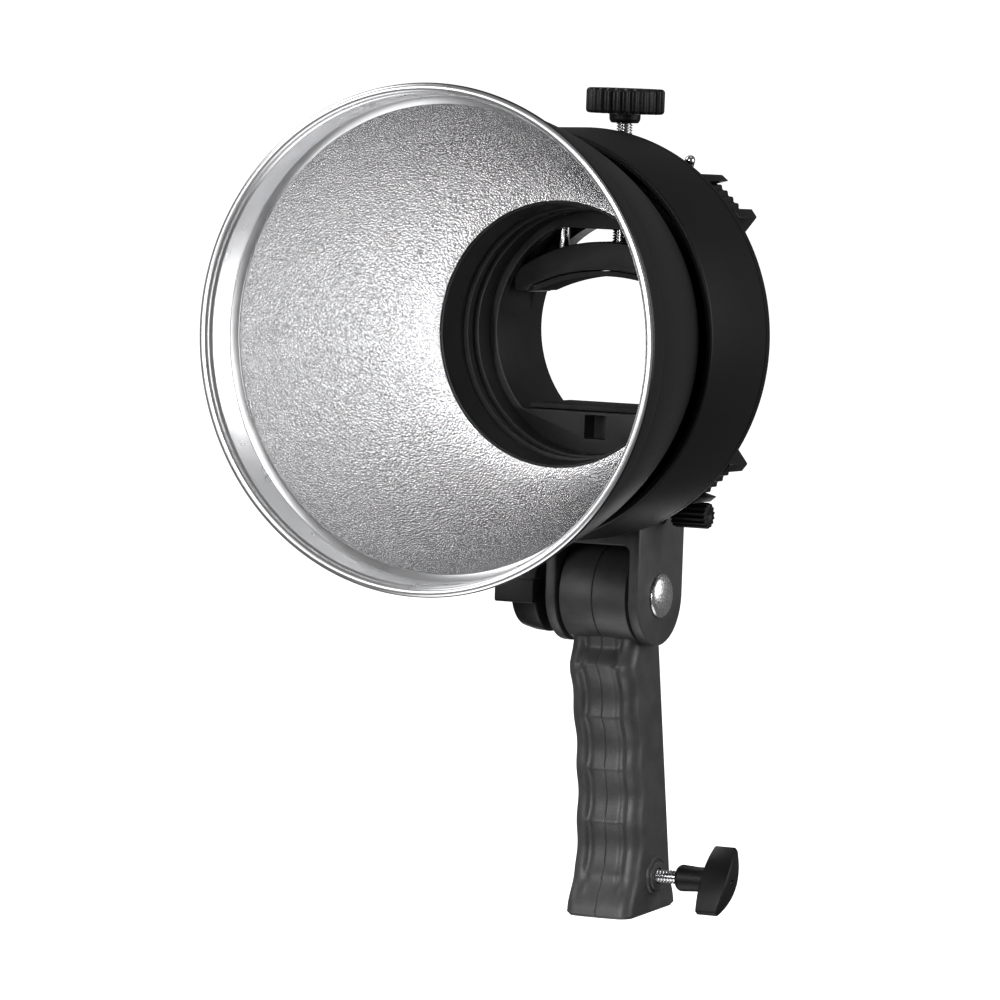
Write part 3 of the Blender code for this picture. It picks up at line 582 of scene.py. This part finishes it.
def screw_head(node, body, radius, base, tip, frame_matrix, axis, at, sign=1):
    """A pan head screw with a cross recess, facing along the axis, or against it where sign is -1."""
    shank, height = 1.5, sign * 1.9
    top, rim = base + height, base + height * 0.45
    profile = [(0, top), (radius * 0.55, top - height * 0.06), (radius * 0.88, top - height * 0.26),
               (radius, rim), (radius, base), (shank, base), (shank, tip), (0, tip)]
    screw = lathe(f"{node}_head", profile, frame_matrix, axis, at, 48, False, 0.15)
    recess = sorted((top + sign, top - height * 0.55))
    arm, half = radius * 0.62, radius * 0.13
    slot = rounded((-arm, -half), (arm, half), half * 0.6, 4)
    for degrees in (20, 110):
        cut(screw, prism("slot", slot, recess, frame_matrix, axis, at, math.radians(degrees)))
    wear(screw, body, ZINC, [node])


def release_lever():
    """The lock pin, the arm on its back end, and the ball that a finger pulls."""
    x, z = on_circle(LEVER_R, LEVER_ANGLE)
    end_x, end_z = 34.0, 64.2
    profile = [(0, 9.9), (2.0, 9.9), (2.0, 1.6), (3.5, 1.6), (3.5, 0.5), (2.0, 0.5), (2.0, -18.6),
               (1.2, -19.4), (0, -19.4)]
    pin = lathe("lock_pin_body", profile, OPTICS, at=(x, 0, z), segments=40, ring=False, corner=0.2)
    wear(pin, "release", CHROME, ["lock_pin"])
    run = Vector((end_x - x, end_z - z))
    outline = arc(3.0, 90, 270, 14) + arc(1.7, -90, 90, 12, (run.length, 0))
    arm = prism("release_arm", outline, (10.2, 12.2), OPTICS, at=(x, 0, z), turn=math.atan2(run.y, run.x))
    wear(bevel(arm, 0.45, 3), "release", PAINT, ["release_lever"])
    stem = [(0, 10.0), (0.95, 10.0), (0.95, 9.3)] + arc(1.9, 60, -90, 14, (0, 8.0))
    ball = lathe("release_ball_end", stem, OPTICS, at=(end_x + 1.4, 0, end_z - 0.2), segments=40, ring=False,
                 corner=0)
    wear(ball, "release", CHROME, ["release_ball"])


# ---------------------------------------------------------------- clamp

CLAMP_Y, OPENING_R, OPENING_TOP, BED_Z = 25.0, 41.7, 37.6, -27.0
ROD_X, ROD_R, ROD_WAY, SCREW_WAY = 23.5, 2.4, 2.7, 3.4
YOKE_R, YOKE_HALF, YOKE_SLOT, YOKE_TOP, ARCH_Z = 18.5, 19.0, 14.8, -54.3, -77.4
UMBRELLA_Z, UMBRELLA_R = -65.5, 4.9


def frame_outline():
    """A circle with flat sides, and a narrow foot below for the fork."""
    side, foot_half, foot = 45.0, 19.0, YOKE_TOP + 0.3
    turn = math.degrees(math.acos(side / FRAME_R))
    low = math.degrees(math.acos(foot_half / FRAME_R))
    return (arc(FRAME_R, turn, 180 - turn, 48) + arc(FRAME_R, 180 + turn, 180 + low, 14)
            + [(-foot_half, foot), (foot_half, foot)] + arc(FRAME_R, 360 - low, 360 - turn, 14))


def flash_opening(radius, top, bottom, count=40):
    """A circle that is cut flat above and below."""
    high, low = math.degrees(math.asin(top / radius)), math.degrees(math.asin(-bottom / radius))
    return arc(radius, -low, high, count) + arc(radius, 180 - high, 180 + low, count)


def bed_outline():
    """The bed pad's section, with a rib and a groove across it 14 times."""
    half, thick, ribs, groove = 16, 1.7, 14, 0.6
    pitch = 2 * half / ribs
    gap = pitch * 0.3
    points = [(-half, BED_Z - thick), (half, BED_Z - thick)]
    for i in range(ribs):
        right = half - pitch * i
        left = half - pitch * (i + 1)
        points += [(right, BED_Z), (left + gap, BED_Z)]
        if i < ribs - 1:
            points += [(left + gap * 0.7, BED_Z - groove), (left + gap * 0.2, BED_Z - groove)]
    return points + [(-half, BED_Z)]


def clamp_frame():
    """The frame behind the cover that the flash goes through, and the ribbed pad that the flash rests on."""
    tower, room_side = 66, 41.4
    screw_axis = (0, CLAMP_Y, 0)
    body = prism("clamp_frame_body", softened(frame_outline(), 1.5), (COVER_BACK + 0.3, FRAME_BACK), OPTICS)
    join(body, block("tower", (-9, 15, 40), (9, 35, tower), OPTICS))
    opening = softened(flash_opening(OPENING_R, OPENING_TOP, BED_Z - 2), 1.6)
    cut(body, prism("way", opening, (5, 60), OPTICS))
    bevel(body, 0.9, 3, 55)
    room = [(max(-room_side, min(room_side, x)), z)
            for x, z in flash_opening(46.0, OPENING_TOP + 0.2, BED_Z - 2) if z > 4.2]
    cut(body, prism("room", room + [(-room_side, 4.0), (room_side, 4.0)], (14.0, 36.0), OPTICS),
        prism("window", rounded((-4.4, -39), (4.4, -30.2), 0.5, 4), (5, 18), OPTICS),
        rod("screw_way", SCREW_WAY, (30, 70), OPTICS, "Z", screw_axis, corner=0),
        rod("nut_seat", 5.4, (54, 70), OPTICS, "Z", screw_axis, corner=0),
        rod("rod_way_left", ROD_WAY, (30, 60), OPTICS, "Z", (-ROD_X, CLAMP_Y, 0), corner=0),
        rod("rod_way_right", ROD_WAY, (30, 60), OPTICS, "Z", (ROD_X, CLAMP_Y, 0), corner=0))
    wear(body, "head", BLACK, ["clamp_frame"])
    pad = prism("bed_rubber", bed_outline(), (-28, 28), OPTICS, "X", (0, 28, 0))
    wear(bevel(pad, 0.15, 2, 30), "head", RUBBER, ["bed_pad"])


def clamp_jaw():
    """The jaw that comes down on the flash, with its pad and the two rods that guide it."""
    half, crown, shoulder = 38.0, 33.0, 20.5
    top_r = (half ** 2 + (crown - shoulder) ** 2) / (2 * (crown - shoulder))
    spread = math.degrees(math.asin(half / top_r))
    top = arc(top_r, 90 - spread, 90 + spread, 48, (0, crown - top_r))
    inner, arch, foot, low_r, foot_step = 31.0, 22.5, 13.0, 72.0, 1.5
    dip, low_centre = math.degrees(math.asin(inner / low_r)), (0, arch - low_r)
    bottom = arc(low_r, 90 + dip, 90 - dip, 40, low_centre)
    feet = [(-half, foot), (-inner - foot_step, foot)] + bottom + [(inner + foot_step, foot), (half, foot)]
    jaw = prism("jaw_beam", softened(top + feet, 1.2), (CLAMP_Y - 10, CLAMP_Y + 10), OPTICS)
    bevel(jaw, 0.6, 3, 45)
    cut(jaw, rod("way", SCREW_WAY, (20, 40), OPTICS, "Z", (0, CLAMP_Y, 0), corner=0),
        block("clip_room", (-6.5, CLAMP_Y - 6.5, 15), (6.5, CLAMP_Y + 6.5, 28.0), OPTICS),
        rod("seat_left", ROD_WAY, (20.2, 40), OPTICS, "Z", (-ROD_X, CLAMP_Y, 0), corner=0),
        rod("seat_right", ROD_WAY, (20.2, 40), OPTICS, "Z", (ROD_X, CLAMP_Y, 0), corner=0))
    wear(jaw, "jaw", BLACK, ["upper_jaw"])
    outline = (arc(low_r - 2.2, 90 + dip, 90 - dip, 40, low_centre)
               + arc(low_r - 0.3, 90 - dip, 90 + dip, 40, low_centre))
    pad = bevel(prism("jaw_rubber", outline, (CLAMP_Y - 9, CLAMP_Y + 9), OPTICS), 0.3, 2, 45)
    wear(pad, "jaw", RUBBER, ["jaw_pad"])
    for side, name in ((-1, "left"), (1, "right")):
        at = (side * ROD_X, CLAMP_Y, 0)
        pin = rod(f"guide_rod_{name}_bar", ROD_R, (20.6, 58), OPTICS, "Z", at, corner=0.5)
        wear(pin, "jaw", CHROME, [f"guide_rod_{name}"])


def clamp_screw():
    """The long screw, with the neck at its foot where a clip holds it in the jaw."""
    at = (0, CLAMP_Y, 0)
    screw = threaded("clamp_screw_thread", 3.0, 1.0, (27.2, 83.5), OPTICS, "Z", at)
    neck = [(0, 27.6), (2.2, 27.6), (2.2, 25.9), (2.9, 25.9), (2.9, 24.6), (0, 24.6)]
    join(screw, lathe("neck", neck, OPTICS, "Z", at, 40, False, 0.15))
    wear(screw, "clamp_turn", CHROME, ["clamp_screw"])


def fluted(name, count, outer, depth, span, frame_matrix, axis, at, corner, crest=0.5):
    """A knob with rounded flutes: its rim follows a flattened wave and pulls in at both faces."""
    low, high = span
    per_flute = 12
    steps = per_flute * count
    rows = [(low, corner)] + [(low + corner * (1 - math.cos(a)), corner * (1 - math.sin(a)))
                              for a in (math.radians(d) for d in (30, 60, 90))]
    rows += [(high - (h - low), inset) for h, inset in reversed(rows)]

    def build(bm):
        rings = []
        for h, inset in rows:
            ring = []
            for i in range(steps):
                wave = math.cos(2 * math.pi * i / per_flute)
                wave = math.copysign(abs(wave) ** crest, wave)
                r = outer - depth * (1 - wave) / 2 - inset
                ring.append(bm.verts.new((*on_circle(r, 360 * i / steps), h)))
            rings.append(ring)
        skin(bm, rings)

    return shaped(build, name, frame_matrix @ Matrix.Translation(at) @ TURN_TO[axis])


def clamp_knob():
    """The fluted knob on the clamp screw, dished on top, with a hub below."""
    at = (0, CLAMP_Y, 0)
    knob = fluted("clamp_knob_head", 24, 14.4, 1.6, (79.7, 89.0), OPTICS, "Z", at, 1.3)
    hub = [(0, 80.4), (5.8, 80.4), (5.7, 77.6), (5.0, 76.3), (0, 76.3)]
    join(knob, lathe("hub", hub, OPTICS, "Z", at, 64, False, 0.4))
    dish = [(0, 90.5), (9.8, 90.5), (9.4, 88.9), (0, 88.9)]
    cut(knob, lathe("dish", dish, OPTICS, "Z", at, 96, False, 0.4),
        rod("bore", 3.1, (70, 84.4), OPTICS, "Z", at, corner=0))
    wear(knob, "clamp_turn", BLACK, ["clamp_knob"], 40)


# ---------------------------------------------------------------- yoke and its screws

def yoke():
    """The fork under the clamp frame: a bore for an umbrella's shaft above, and two ears on the tilt bolt."""
    py, pz = PIVOT_LOCAL.y, PIVOT_LOCAL.z
    outline = arc(YOKE_R, 180, 360, 48, (py, pz)) + [(py + YOKE_R, YOKE_TOP), (py - YOKE_R, YOKE_TOP)]
    fork = prism("fork_body", outline, (-YOKE_HALF, YOKE_HALF), OPTICS, "X")
    cut(fork, prism("gap", rounded((-YOKE_SLOT, -140), (YOKE_SLOT, ARCH_Z), 2.5), (0, 60), OPTICS))
    bevel(fork, 0.8, 3, 60)
    cut(fork, rod("umbrella", UMBRELLA_R, (0, 60), OPTICS, at=(0, 0, UMBRELLA_Z), segments=64, corner=0),
        rod("lock_way", 4.3, (0, 30), OPTICS, "X", (0, py, UMBRELLA_Z), corner=0),
        rod("bolt_way", 4.4, (-30, 30), OPTICS, "X", (0, py, pz), corner=0))
    wear(fork, "head", GREY, ["fork_yoke"])


def tilt_bolt():
    """The bolt through the fork, with a domed head on the right."""
    head_r, shank, face, rise = 8.2, 4.1, 19.3, 2.7
    dome = [(head_r * math.sin(math.radians(a)), face + 0.05 + rise * math.cos(math.radians(a)))
            for a in range(8, 91, 8)]
    profile = [(0, 22.0)] + dome + [(head_r, face), (shank, face), (shank, -34), (0, -34)]
    bolt = lathe("tilt_bolt_dome", profile, OPTICS, "X", (0, PIVOT_LOCAL.y, PIVOT_LOCAL.z), 96, False, 0)
    wear(bolt, "head", BOLT, ["tilt_bolt"])


def umbrella_lock():
    """The small fluted screw that holds an umbrella's shaft."""
    at = (0, PIVOT_LOCAL.y, UMBRELLA_Z)
    knob = fluted("umbrella_knob_head", 14, 4.8, 0.8, (24.0, 38.0), OPTICS, "X", at, 0.7, 0.6)
    dimple = [(0, 40), (2.9, 40), (2.5, 37.7), (0.9, 37.4), (0, 36.6)]
    cut(knob, lathe("dimple", dimple, OPTICS, "X", at, 48, False, 0.2),
        rod("seat", 2.1, (20, 33.4), OPTICS, "X", at, corner=0))
    wear(knob, "umbrella_lock_turn", BLACK, ["umbrella_lock_knob"], 40)
    stud = threaded("umbrella_stud_thread", 2.0, 0.7, (5.4, 33.0), OPTICS, "X", at)
    wear(stud, "umbrella_lock_feed", CHROME, ["umbrella_lock_stud"])


def tilt_knob():
    """The knob that clamps the tilt: a round body with a bar across it for the fingers."""
    at = (0, PIVOT_LOCAL.y, PIVOT_LOCAL.z)
    hub = [(0, -22.2), (12.4, -22.2), (16.0, -24.5), (15.6, -30.0), (14.4, -35.0), (12.0, -36.0), (0, -36.0)]
    knob = lathe("tilt_knob_body", hub, OPTICS, "X", at, 96, False, 0.8)
    bar = prism("bar", rounded((-21, -4.6), (21, 4.6), 0.9), (-38.5, -22.6), OPTICS, "X", at)
    bevel(bar, 0.5, 3, 60)
    join(knob, bar)
    cut(knob, rod("seat", 5.9, (-35, -20), OPTICS, "X", at, corner=0))
    wear(knob, "tilt_knob_turn", BLACK, ["tilt_knob"], 40)


# ---------------------------------------------------------------- grip

GRIP_HALF, CORNER, SEAM, GRIP_TOP = 13.5, 5.0, 0.05, 108
RIDGES = [15 + 19.6 * i for i in range(5)]
RIB_START, RIB_REACH = 5.6, 3.2
GROOVE_X, GROOVE_REACH, GROOVE_DEEP = 6.9, 1.5, 0.95
BARREL_R, BARREL_HALF = 18.0, 13.6
LOCK_Z, BOSS_R, BOSS_END = 13.5, 7.3, 15.3
SHELL_SCREWS = [(-7.9, 90.0), (-2.9, 73.0), (0.6, 56.0)]


def grip_front(z, rib=0.0):
    """Y of the grip's front: finger scallops with sharp crests, or soft waves where rib is 1."""
    first, last, scallop_deep, foot_flare, top_step = RIDGES[0], RIDGES[-1], 2.2, 3.4, 4.6
    y = -14.5 - 0.0026 * (min(z, last) - 42) ** 2
    if first < z < last:
        t = (z - first) / (RIDGES[1] - first) % 1.0
        scallop = 1 - (2 * t - 1) ** 2
        wave = 0.05 + 0.6 * math.sin(math.pi * t) ** 2
        y += scallop_deep * (scallop + (wave - scallop) * rib)
    y -= foot_flare * smooth((15 - z) / 12)
    return y + top_step * smooth((z - last + 5 * rib) / (7 + 8 * rib))


def grip_back(z):
    """Y of the grip's back: a straight taper that flares at the foot."""
    return 17.1 - 0.106 * z + 2.4 * smooth((14 - z) / 12)


def half_ring(z, side):
    """One side's outline: scalloped front, shallow groove, a rib round the corner, side and back."""
    back, out = grip_back(z), GRIP_HALF - CORNER
    steps, crown, seam_edge = 24, 0.3, 0.3
    fade = smooth((z - 4) / 14) * smooth((112 - z) / 8)

    points = []
    for i in range(steps + 1):
        x = SEAM + (out - SEAM) * i / steps
        rib = smooth((x - RIB_START) / RIB_REACH)
        dip = GROOVE_DEEP * math.exp(-((x - GROOVE_X) / GROOVE_REACH) ** 2) * fade
        lip = 0.25 * smooth((seam_edge - (x - SEAM)) / seam_edge)
        points.append((x, grip_front(z, rib) - crown * (1 - (x / out) ** 2) + dip + lip))
    corner = grip_front(z, 1.0) + CORNER
    points += arc(CORNER, 270, 360, 14, (out, corner))[1:]
    points += [(GRIP_HALF, corner + (back - CORNER - corner) * i / 5) for i in range(1, 5)]
    points += arc(CORNER, 0, 90, 12, (out, back - CORNER)) + [(SEAM + seam_edge, back), (SEAM, back - 0.35)]
    return [(side * x, y) for x, y in points]


def handle_shell(side, name):
    """Half of the handle, lofted through outlines up its height. Its foot's edge is rounded."""
    round_up, foot_inset = 1.2, 0.9 / 16
    heights, z = [0.0, 0.25, 0.6, round_up], 2.0
    while z < GRIP_TOP:
        heights.append(z)
        z += 0.7

    def build(bm):
        rings = []
        for z in heights:
            middle = (grip_front(z) + grip_back(z)) / 2
            shrink = 1 - foot_inset * (1 - smooth(z / round_up))
            ring = []
            for x, y in half_ring(z, side):
                at_seam = abs(x) <= SEAM + 1e-6
                place = (x if at_seam else x * shrink, middle + (y - middle) * shrink, z)
                ring.append(bm.verts.new(place))
            rings.append(ring)
        skin(bm, rings)

    return shaped(build, name, GRIP)


def grip_half(side, name, node):
    """One grip shell: half of the handle and of the barrel in the fork, hollowed for what they hold."""
    shell = handle_shell(side, name)
    edge, inner, outer = 0.7, side * SEAM, side * BARREL_HALF
    profile = [(0, inner), (BARREL_R - 0.3, inner), (BARREL_R, inner + side * 0.3),
               (BARREL_R, outer - side * edge), (BARREL_R - edge * 0.3, outer - side * edge * 0.3),
               (BARREL_R - edge, outer), (0, outer)]
    pivot, lock = (0, PIVOT.y, PIVOT.z), (0, 0, LOCK_Z)
    join(shell, lathe("barrel", profile, GRIP, "X", pivot, 144, False, 0))
    if side > 0:
        boss = [(0, BOSS_END), (5.2, BOSS_END), (5.6, BOSS_END - 0.5), (5.7, BOSS_END - 1.2),
                (6.2, BOSS_END - 1.2), (6.3, BOSS_END - 0.8), (7.0, BOSS_END - 0.8), (BOSS_R, BOSS_END - 1.2),
                (BOSS_R + 0.4, 10), (0, 10)]
        join(shell, lathe("boss", boss, GRIP, "X", lock, 96, False, 0.15))
        cut(shell, rod("nut_way", 4.3, (8, BOSS_END - 0.45), GRIP, "X", lock, corner=0),
            rod("stud_way", 3.0, (8, 20), GRIP, "X", lock, corner=0))
    cut(shell, rod("sleeve_way", 9.7, (-1, 43.6), GRIP, "Z", segments=96, corner=0),
        rod("bush_way", 6.3, (-20, 20), GRIP, "X", pivot, corner=0))
    if side < 0:
        for y, z in SHELL_SCREWS:
            cut(shell, rod("head_seat", 3.2, (-20, -11.3), GRIP, "X", (0, y, z), corner=0))
    wear(shell, "grip", GREY, [node], 34)


def wing_blade(length, width, span, crown, at, lean):
    """A thumb wing across the X axis: a lens along its length, its outer face raised in the middle."""
    low, high = span
    tip, steps = 1.2, 24
    along = Vector((0, math.cos(lean), math.sin(lean)))
    across = Vector((0, -math.sin(lean), math.cos(lean)))

    def build(bm):
        rings = []
        for i in range(steps + 1):
            t = 2 * i / steps - 1
            middle = along * t * length / 2
            half = across * (tip + (width / 2 - tip) * (1 - t * t))
            face = high + crown * (1 - t * t)
            rings.append([bm.verts.new(middle + half * side + Vector((x, 0, 0)))
                          for side, x in ((-1, low), (-1, face), (1, face), (1, low))])
        skin(bm, rings)

    return bevel(shaped(build, "blade", GRIP @ Matrix.Translation(at)), 0.7, 3, 40)


def stand_lock():
    """The thumb screw that holds a stand's stud in the socket."""
    at = (0, 0, LOCK_Z)
    neck = [(0, 38), (4.7, 38), (4.6, 31), (5.0, 24.6), (4.2, 23.4), (0, 23.4)]
    knob = lathe("stand_knob_wing", neck, GRIP, "X", at, 72, False, 0.6)
    join(knob, wing_blade(28.0, 9.4, (34.4, 43.0), 2.2, at, math.radians(52.5)))
    dimple = [(0, 49), (1.3, 49), (1.1, 44.9), (0, 43.9)]
    cut(knob, lathe("dimple", dimple, GRIP, "X", at, 48, False, 0.15),
        rod("seat", 2.5, (20, 37.4), GRIP, "X", at, corner=0))
    wear(knob, "stand_lock_turn", BLACK, ["stand_lock_knob"], 45)
    stud = threaded("stand_lock_thread", 2.5, 1.25, (9.1, 36.8), GRIP, "X", at)
    wear(stud, "stand_lock_feed", CHROME, ["stand_lock_stud"])


# ---------------------------------------------------------------- CAD nodes that keep their shape

KEPT = {
    ZINC: ["stand_socket", "pivot_bush", "pin_spring", "screw_clip", "tilt_knob_washer"]
          + [f"socket_screw_{i}" for i in (1, 2, 3)] + [f"yoke_screw_{i}" for i in (1, 2, 3, 4)],
    BLACKENED: ["stand_lock_nut", "umbrella_lock_nut"],
    BRASS: ["screw_nut", "tilt_knob_nut"],
    NYLON: ["tilt_washer_left", "tilt_washer_right"]}


def finish_kept():
    """Gives each kept node its material and slightly rounded edges."""
    for material, names in KEPT.items():
        for name in names:
            node = frame["nodes"][name]
            node.data.materials.clear()
            node.data.materials.append(material)
            rim = node.modifiers.new("rim", "BEVEL")
            rim.width = 0.12 * MM
            rim.segments = 2
            rim.limit_method = "ANGLE"


# ---------------------------------------------------------------- stage, light and camera

def floor():
    """A pale level floor below the bracket. It shows white and throws no light on the bracket."""
    bpy.ops.mesh.primitive_plane_add(size=60, location=(0, 0, -0.22))
    ground = bpy.context.object
    ground.name = "floor"
    n = Nodes("pale_floor")
    n.set(Base_Color=(0.9, 0.9, 0.9), Roughness=0.9, Emission_Color=(1, 1, 1), Emission_Strength=1.0)
    ground.data.materials.append(n.material)
    ground.visible_glossy = ground.visible_diffuse = False


def softbox(name, azimuth, elevation, distance, size, radiance, target=(0, -0.05, 0.19)):
    """A soft rectangular light. Azimuth 0 is in front of the bracket, 90 at its right."""
    turn, rise = math.radians(azimuth), math.radians(elevation)
    way = Vector((math.sin(turn) * math.cos(rise), -math.cos(turn) * math.cos(rise), math.sin(rise)))
    light = bpy.data.lights.new(name, "AREA")
    light.shape = "RECTANGLE"
    light.size, light.size_y = size
    light.energy = radiance * math.pi * size[0] * size[1]
    lamp = bpy.data.objects.new(name, light)
    bpy.context.scene.collection.objects.link(lamp)
    lamp.location = Vector(target) + way * distance
    lamp.rotation_euler = (-way).to_track_quat("-Z", "Y").to_euler()
    lamp.visible_camera = False


def world():
    """White for the camera and dim for the object, so that black plastic stays black."""
    sky = bpy.data.worlds.new("studio")
    bpy.context.scene.world = sky
    sky.use_nodes = True
    tree = sky.node_tree
    background = tree.nodes["Background"]
    background.inputs["Color"].default_value = (1, 1, 1, 1)
    seen = tree.nodes.new("ShaderNodeLightPath")
    level = tree.nodes.new("ShaderNodeMapRange")
    level.inputs["To Min"].default_value = 0.12
    level.inputs["To Max"].default_value = 1.0
    tree.links.new(seen.outputs["Is Camera Ray"], level.inputs["Value"])
    tree.links.new(level.outputs["Result"], background.inputs["Strength"])


def camera():
    """A long lens, far away, at the photograph's angle."""
    azimuth, elevation, distance = math.radians(27.6), math.radians(7.5), 2.905
    target = Vector((-0.02407, -0.05146, 0.15691))
    back = Vector((math.sin(azimuth) * math.cos(elevation), -math.cos(azimuth) * math.cos(elevation),
                   math.sin(elevation)))
    lens = bpy.data.cameras.new("camera")
    lens.sensor_width = 36
    lens.lens = 288
    lens.clip_end = 100
    eye = bpy.data.objects.new("camera", lens)
    bpy.context.scene.collection.objects.link(eye)
    eye.location = target + back * distance
    eye.rotation_euler = (-back).to_track_quat("-Z", "Y").to_euler()
    bpy.context.scene.camera = eye


def lights():
    """Softboxes round the bracket, and a small one in the neck that lights the bowl as the flash would."""
    # name, azimuth, elevation, distance and size in metres, radiance
    softbox("front", 8, 15, 3.4, (0.7, 1.7), 14.0)
    softbox("fill", -32, 12, 3.0, (1.2, 1.4), 3.2)
    softbox("right", 108, 12, 2.2, (1.5, 1.3), 3.4)
    softbox("left", -80, 40, 2.2, (0.9, 1.2), 3.0)
    softbox("back", -125, 35, 2.4, (1.2, 1.0), 2.5)
    softbox("back_low", -155, -26, 1.8, (0.8, 0.5), 1.6)
    softbox("under", 0, -72, 1.5, (1.5, 1.5), 1.6)
    softbox("top", 150, 70, 2.0, (1.0, 1.0), 0.6)
    neck = OPTICS @ Vector((-5, -42, 2)) * MM
    softbox("glow", 100, 0, 0.02, (0.05, 0.05), 3.0, tuple(neck))


# ---------------------------------------------------------------- the scene

reflector_dish()
reflector_ring()
drum_housing()
bayonet_socket()
rear_cover()
release_lever()
clamp_frame()
clamp_jaw()
clamp_screw()
clamp_knob()
yoke()
tilt_bolt()
umbrella_lock()
tilt_knob()
grip_half(-1, "grip_half_left", "grip_shell_left")
grip_half(1, "grip_half_right", "grip_shell_right")
stand_lock()
for i, (x, z) in enumerate(COVER_SCREWS):
    screw_head(f"cover_screw_{i + 1}", "head", 3.1, 12.4, -5, OPTICS, "Y", (x, 0, z))
for i, (y, z) in enumerate(SHELL_SCREWS):
    screw_head(f"shell_screw_{i + 1}", "grip", 2.9, -11.4, 8.8, GRIP, "X", (0, y, z), -1)
finish_kept()

floor()
world()
lights()
camera()
bpy.context.scene.view_settings.view_transform = "Standard"
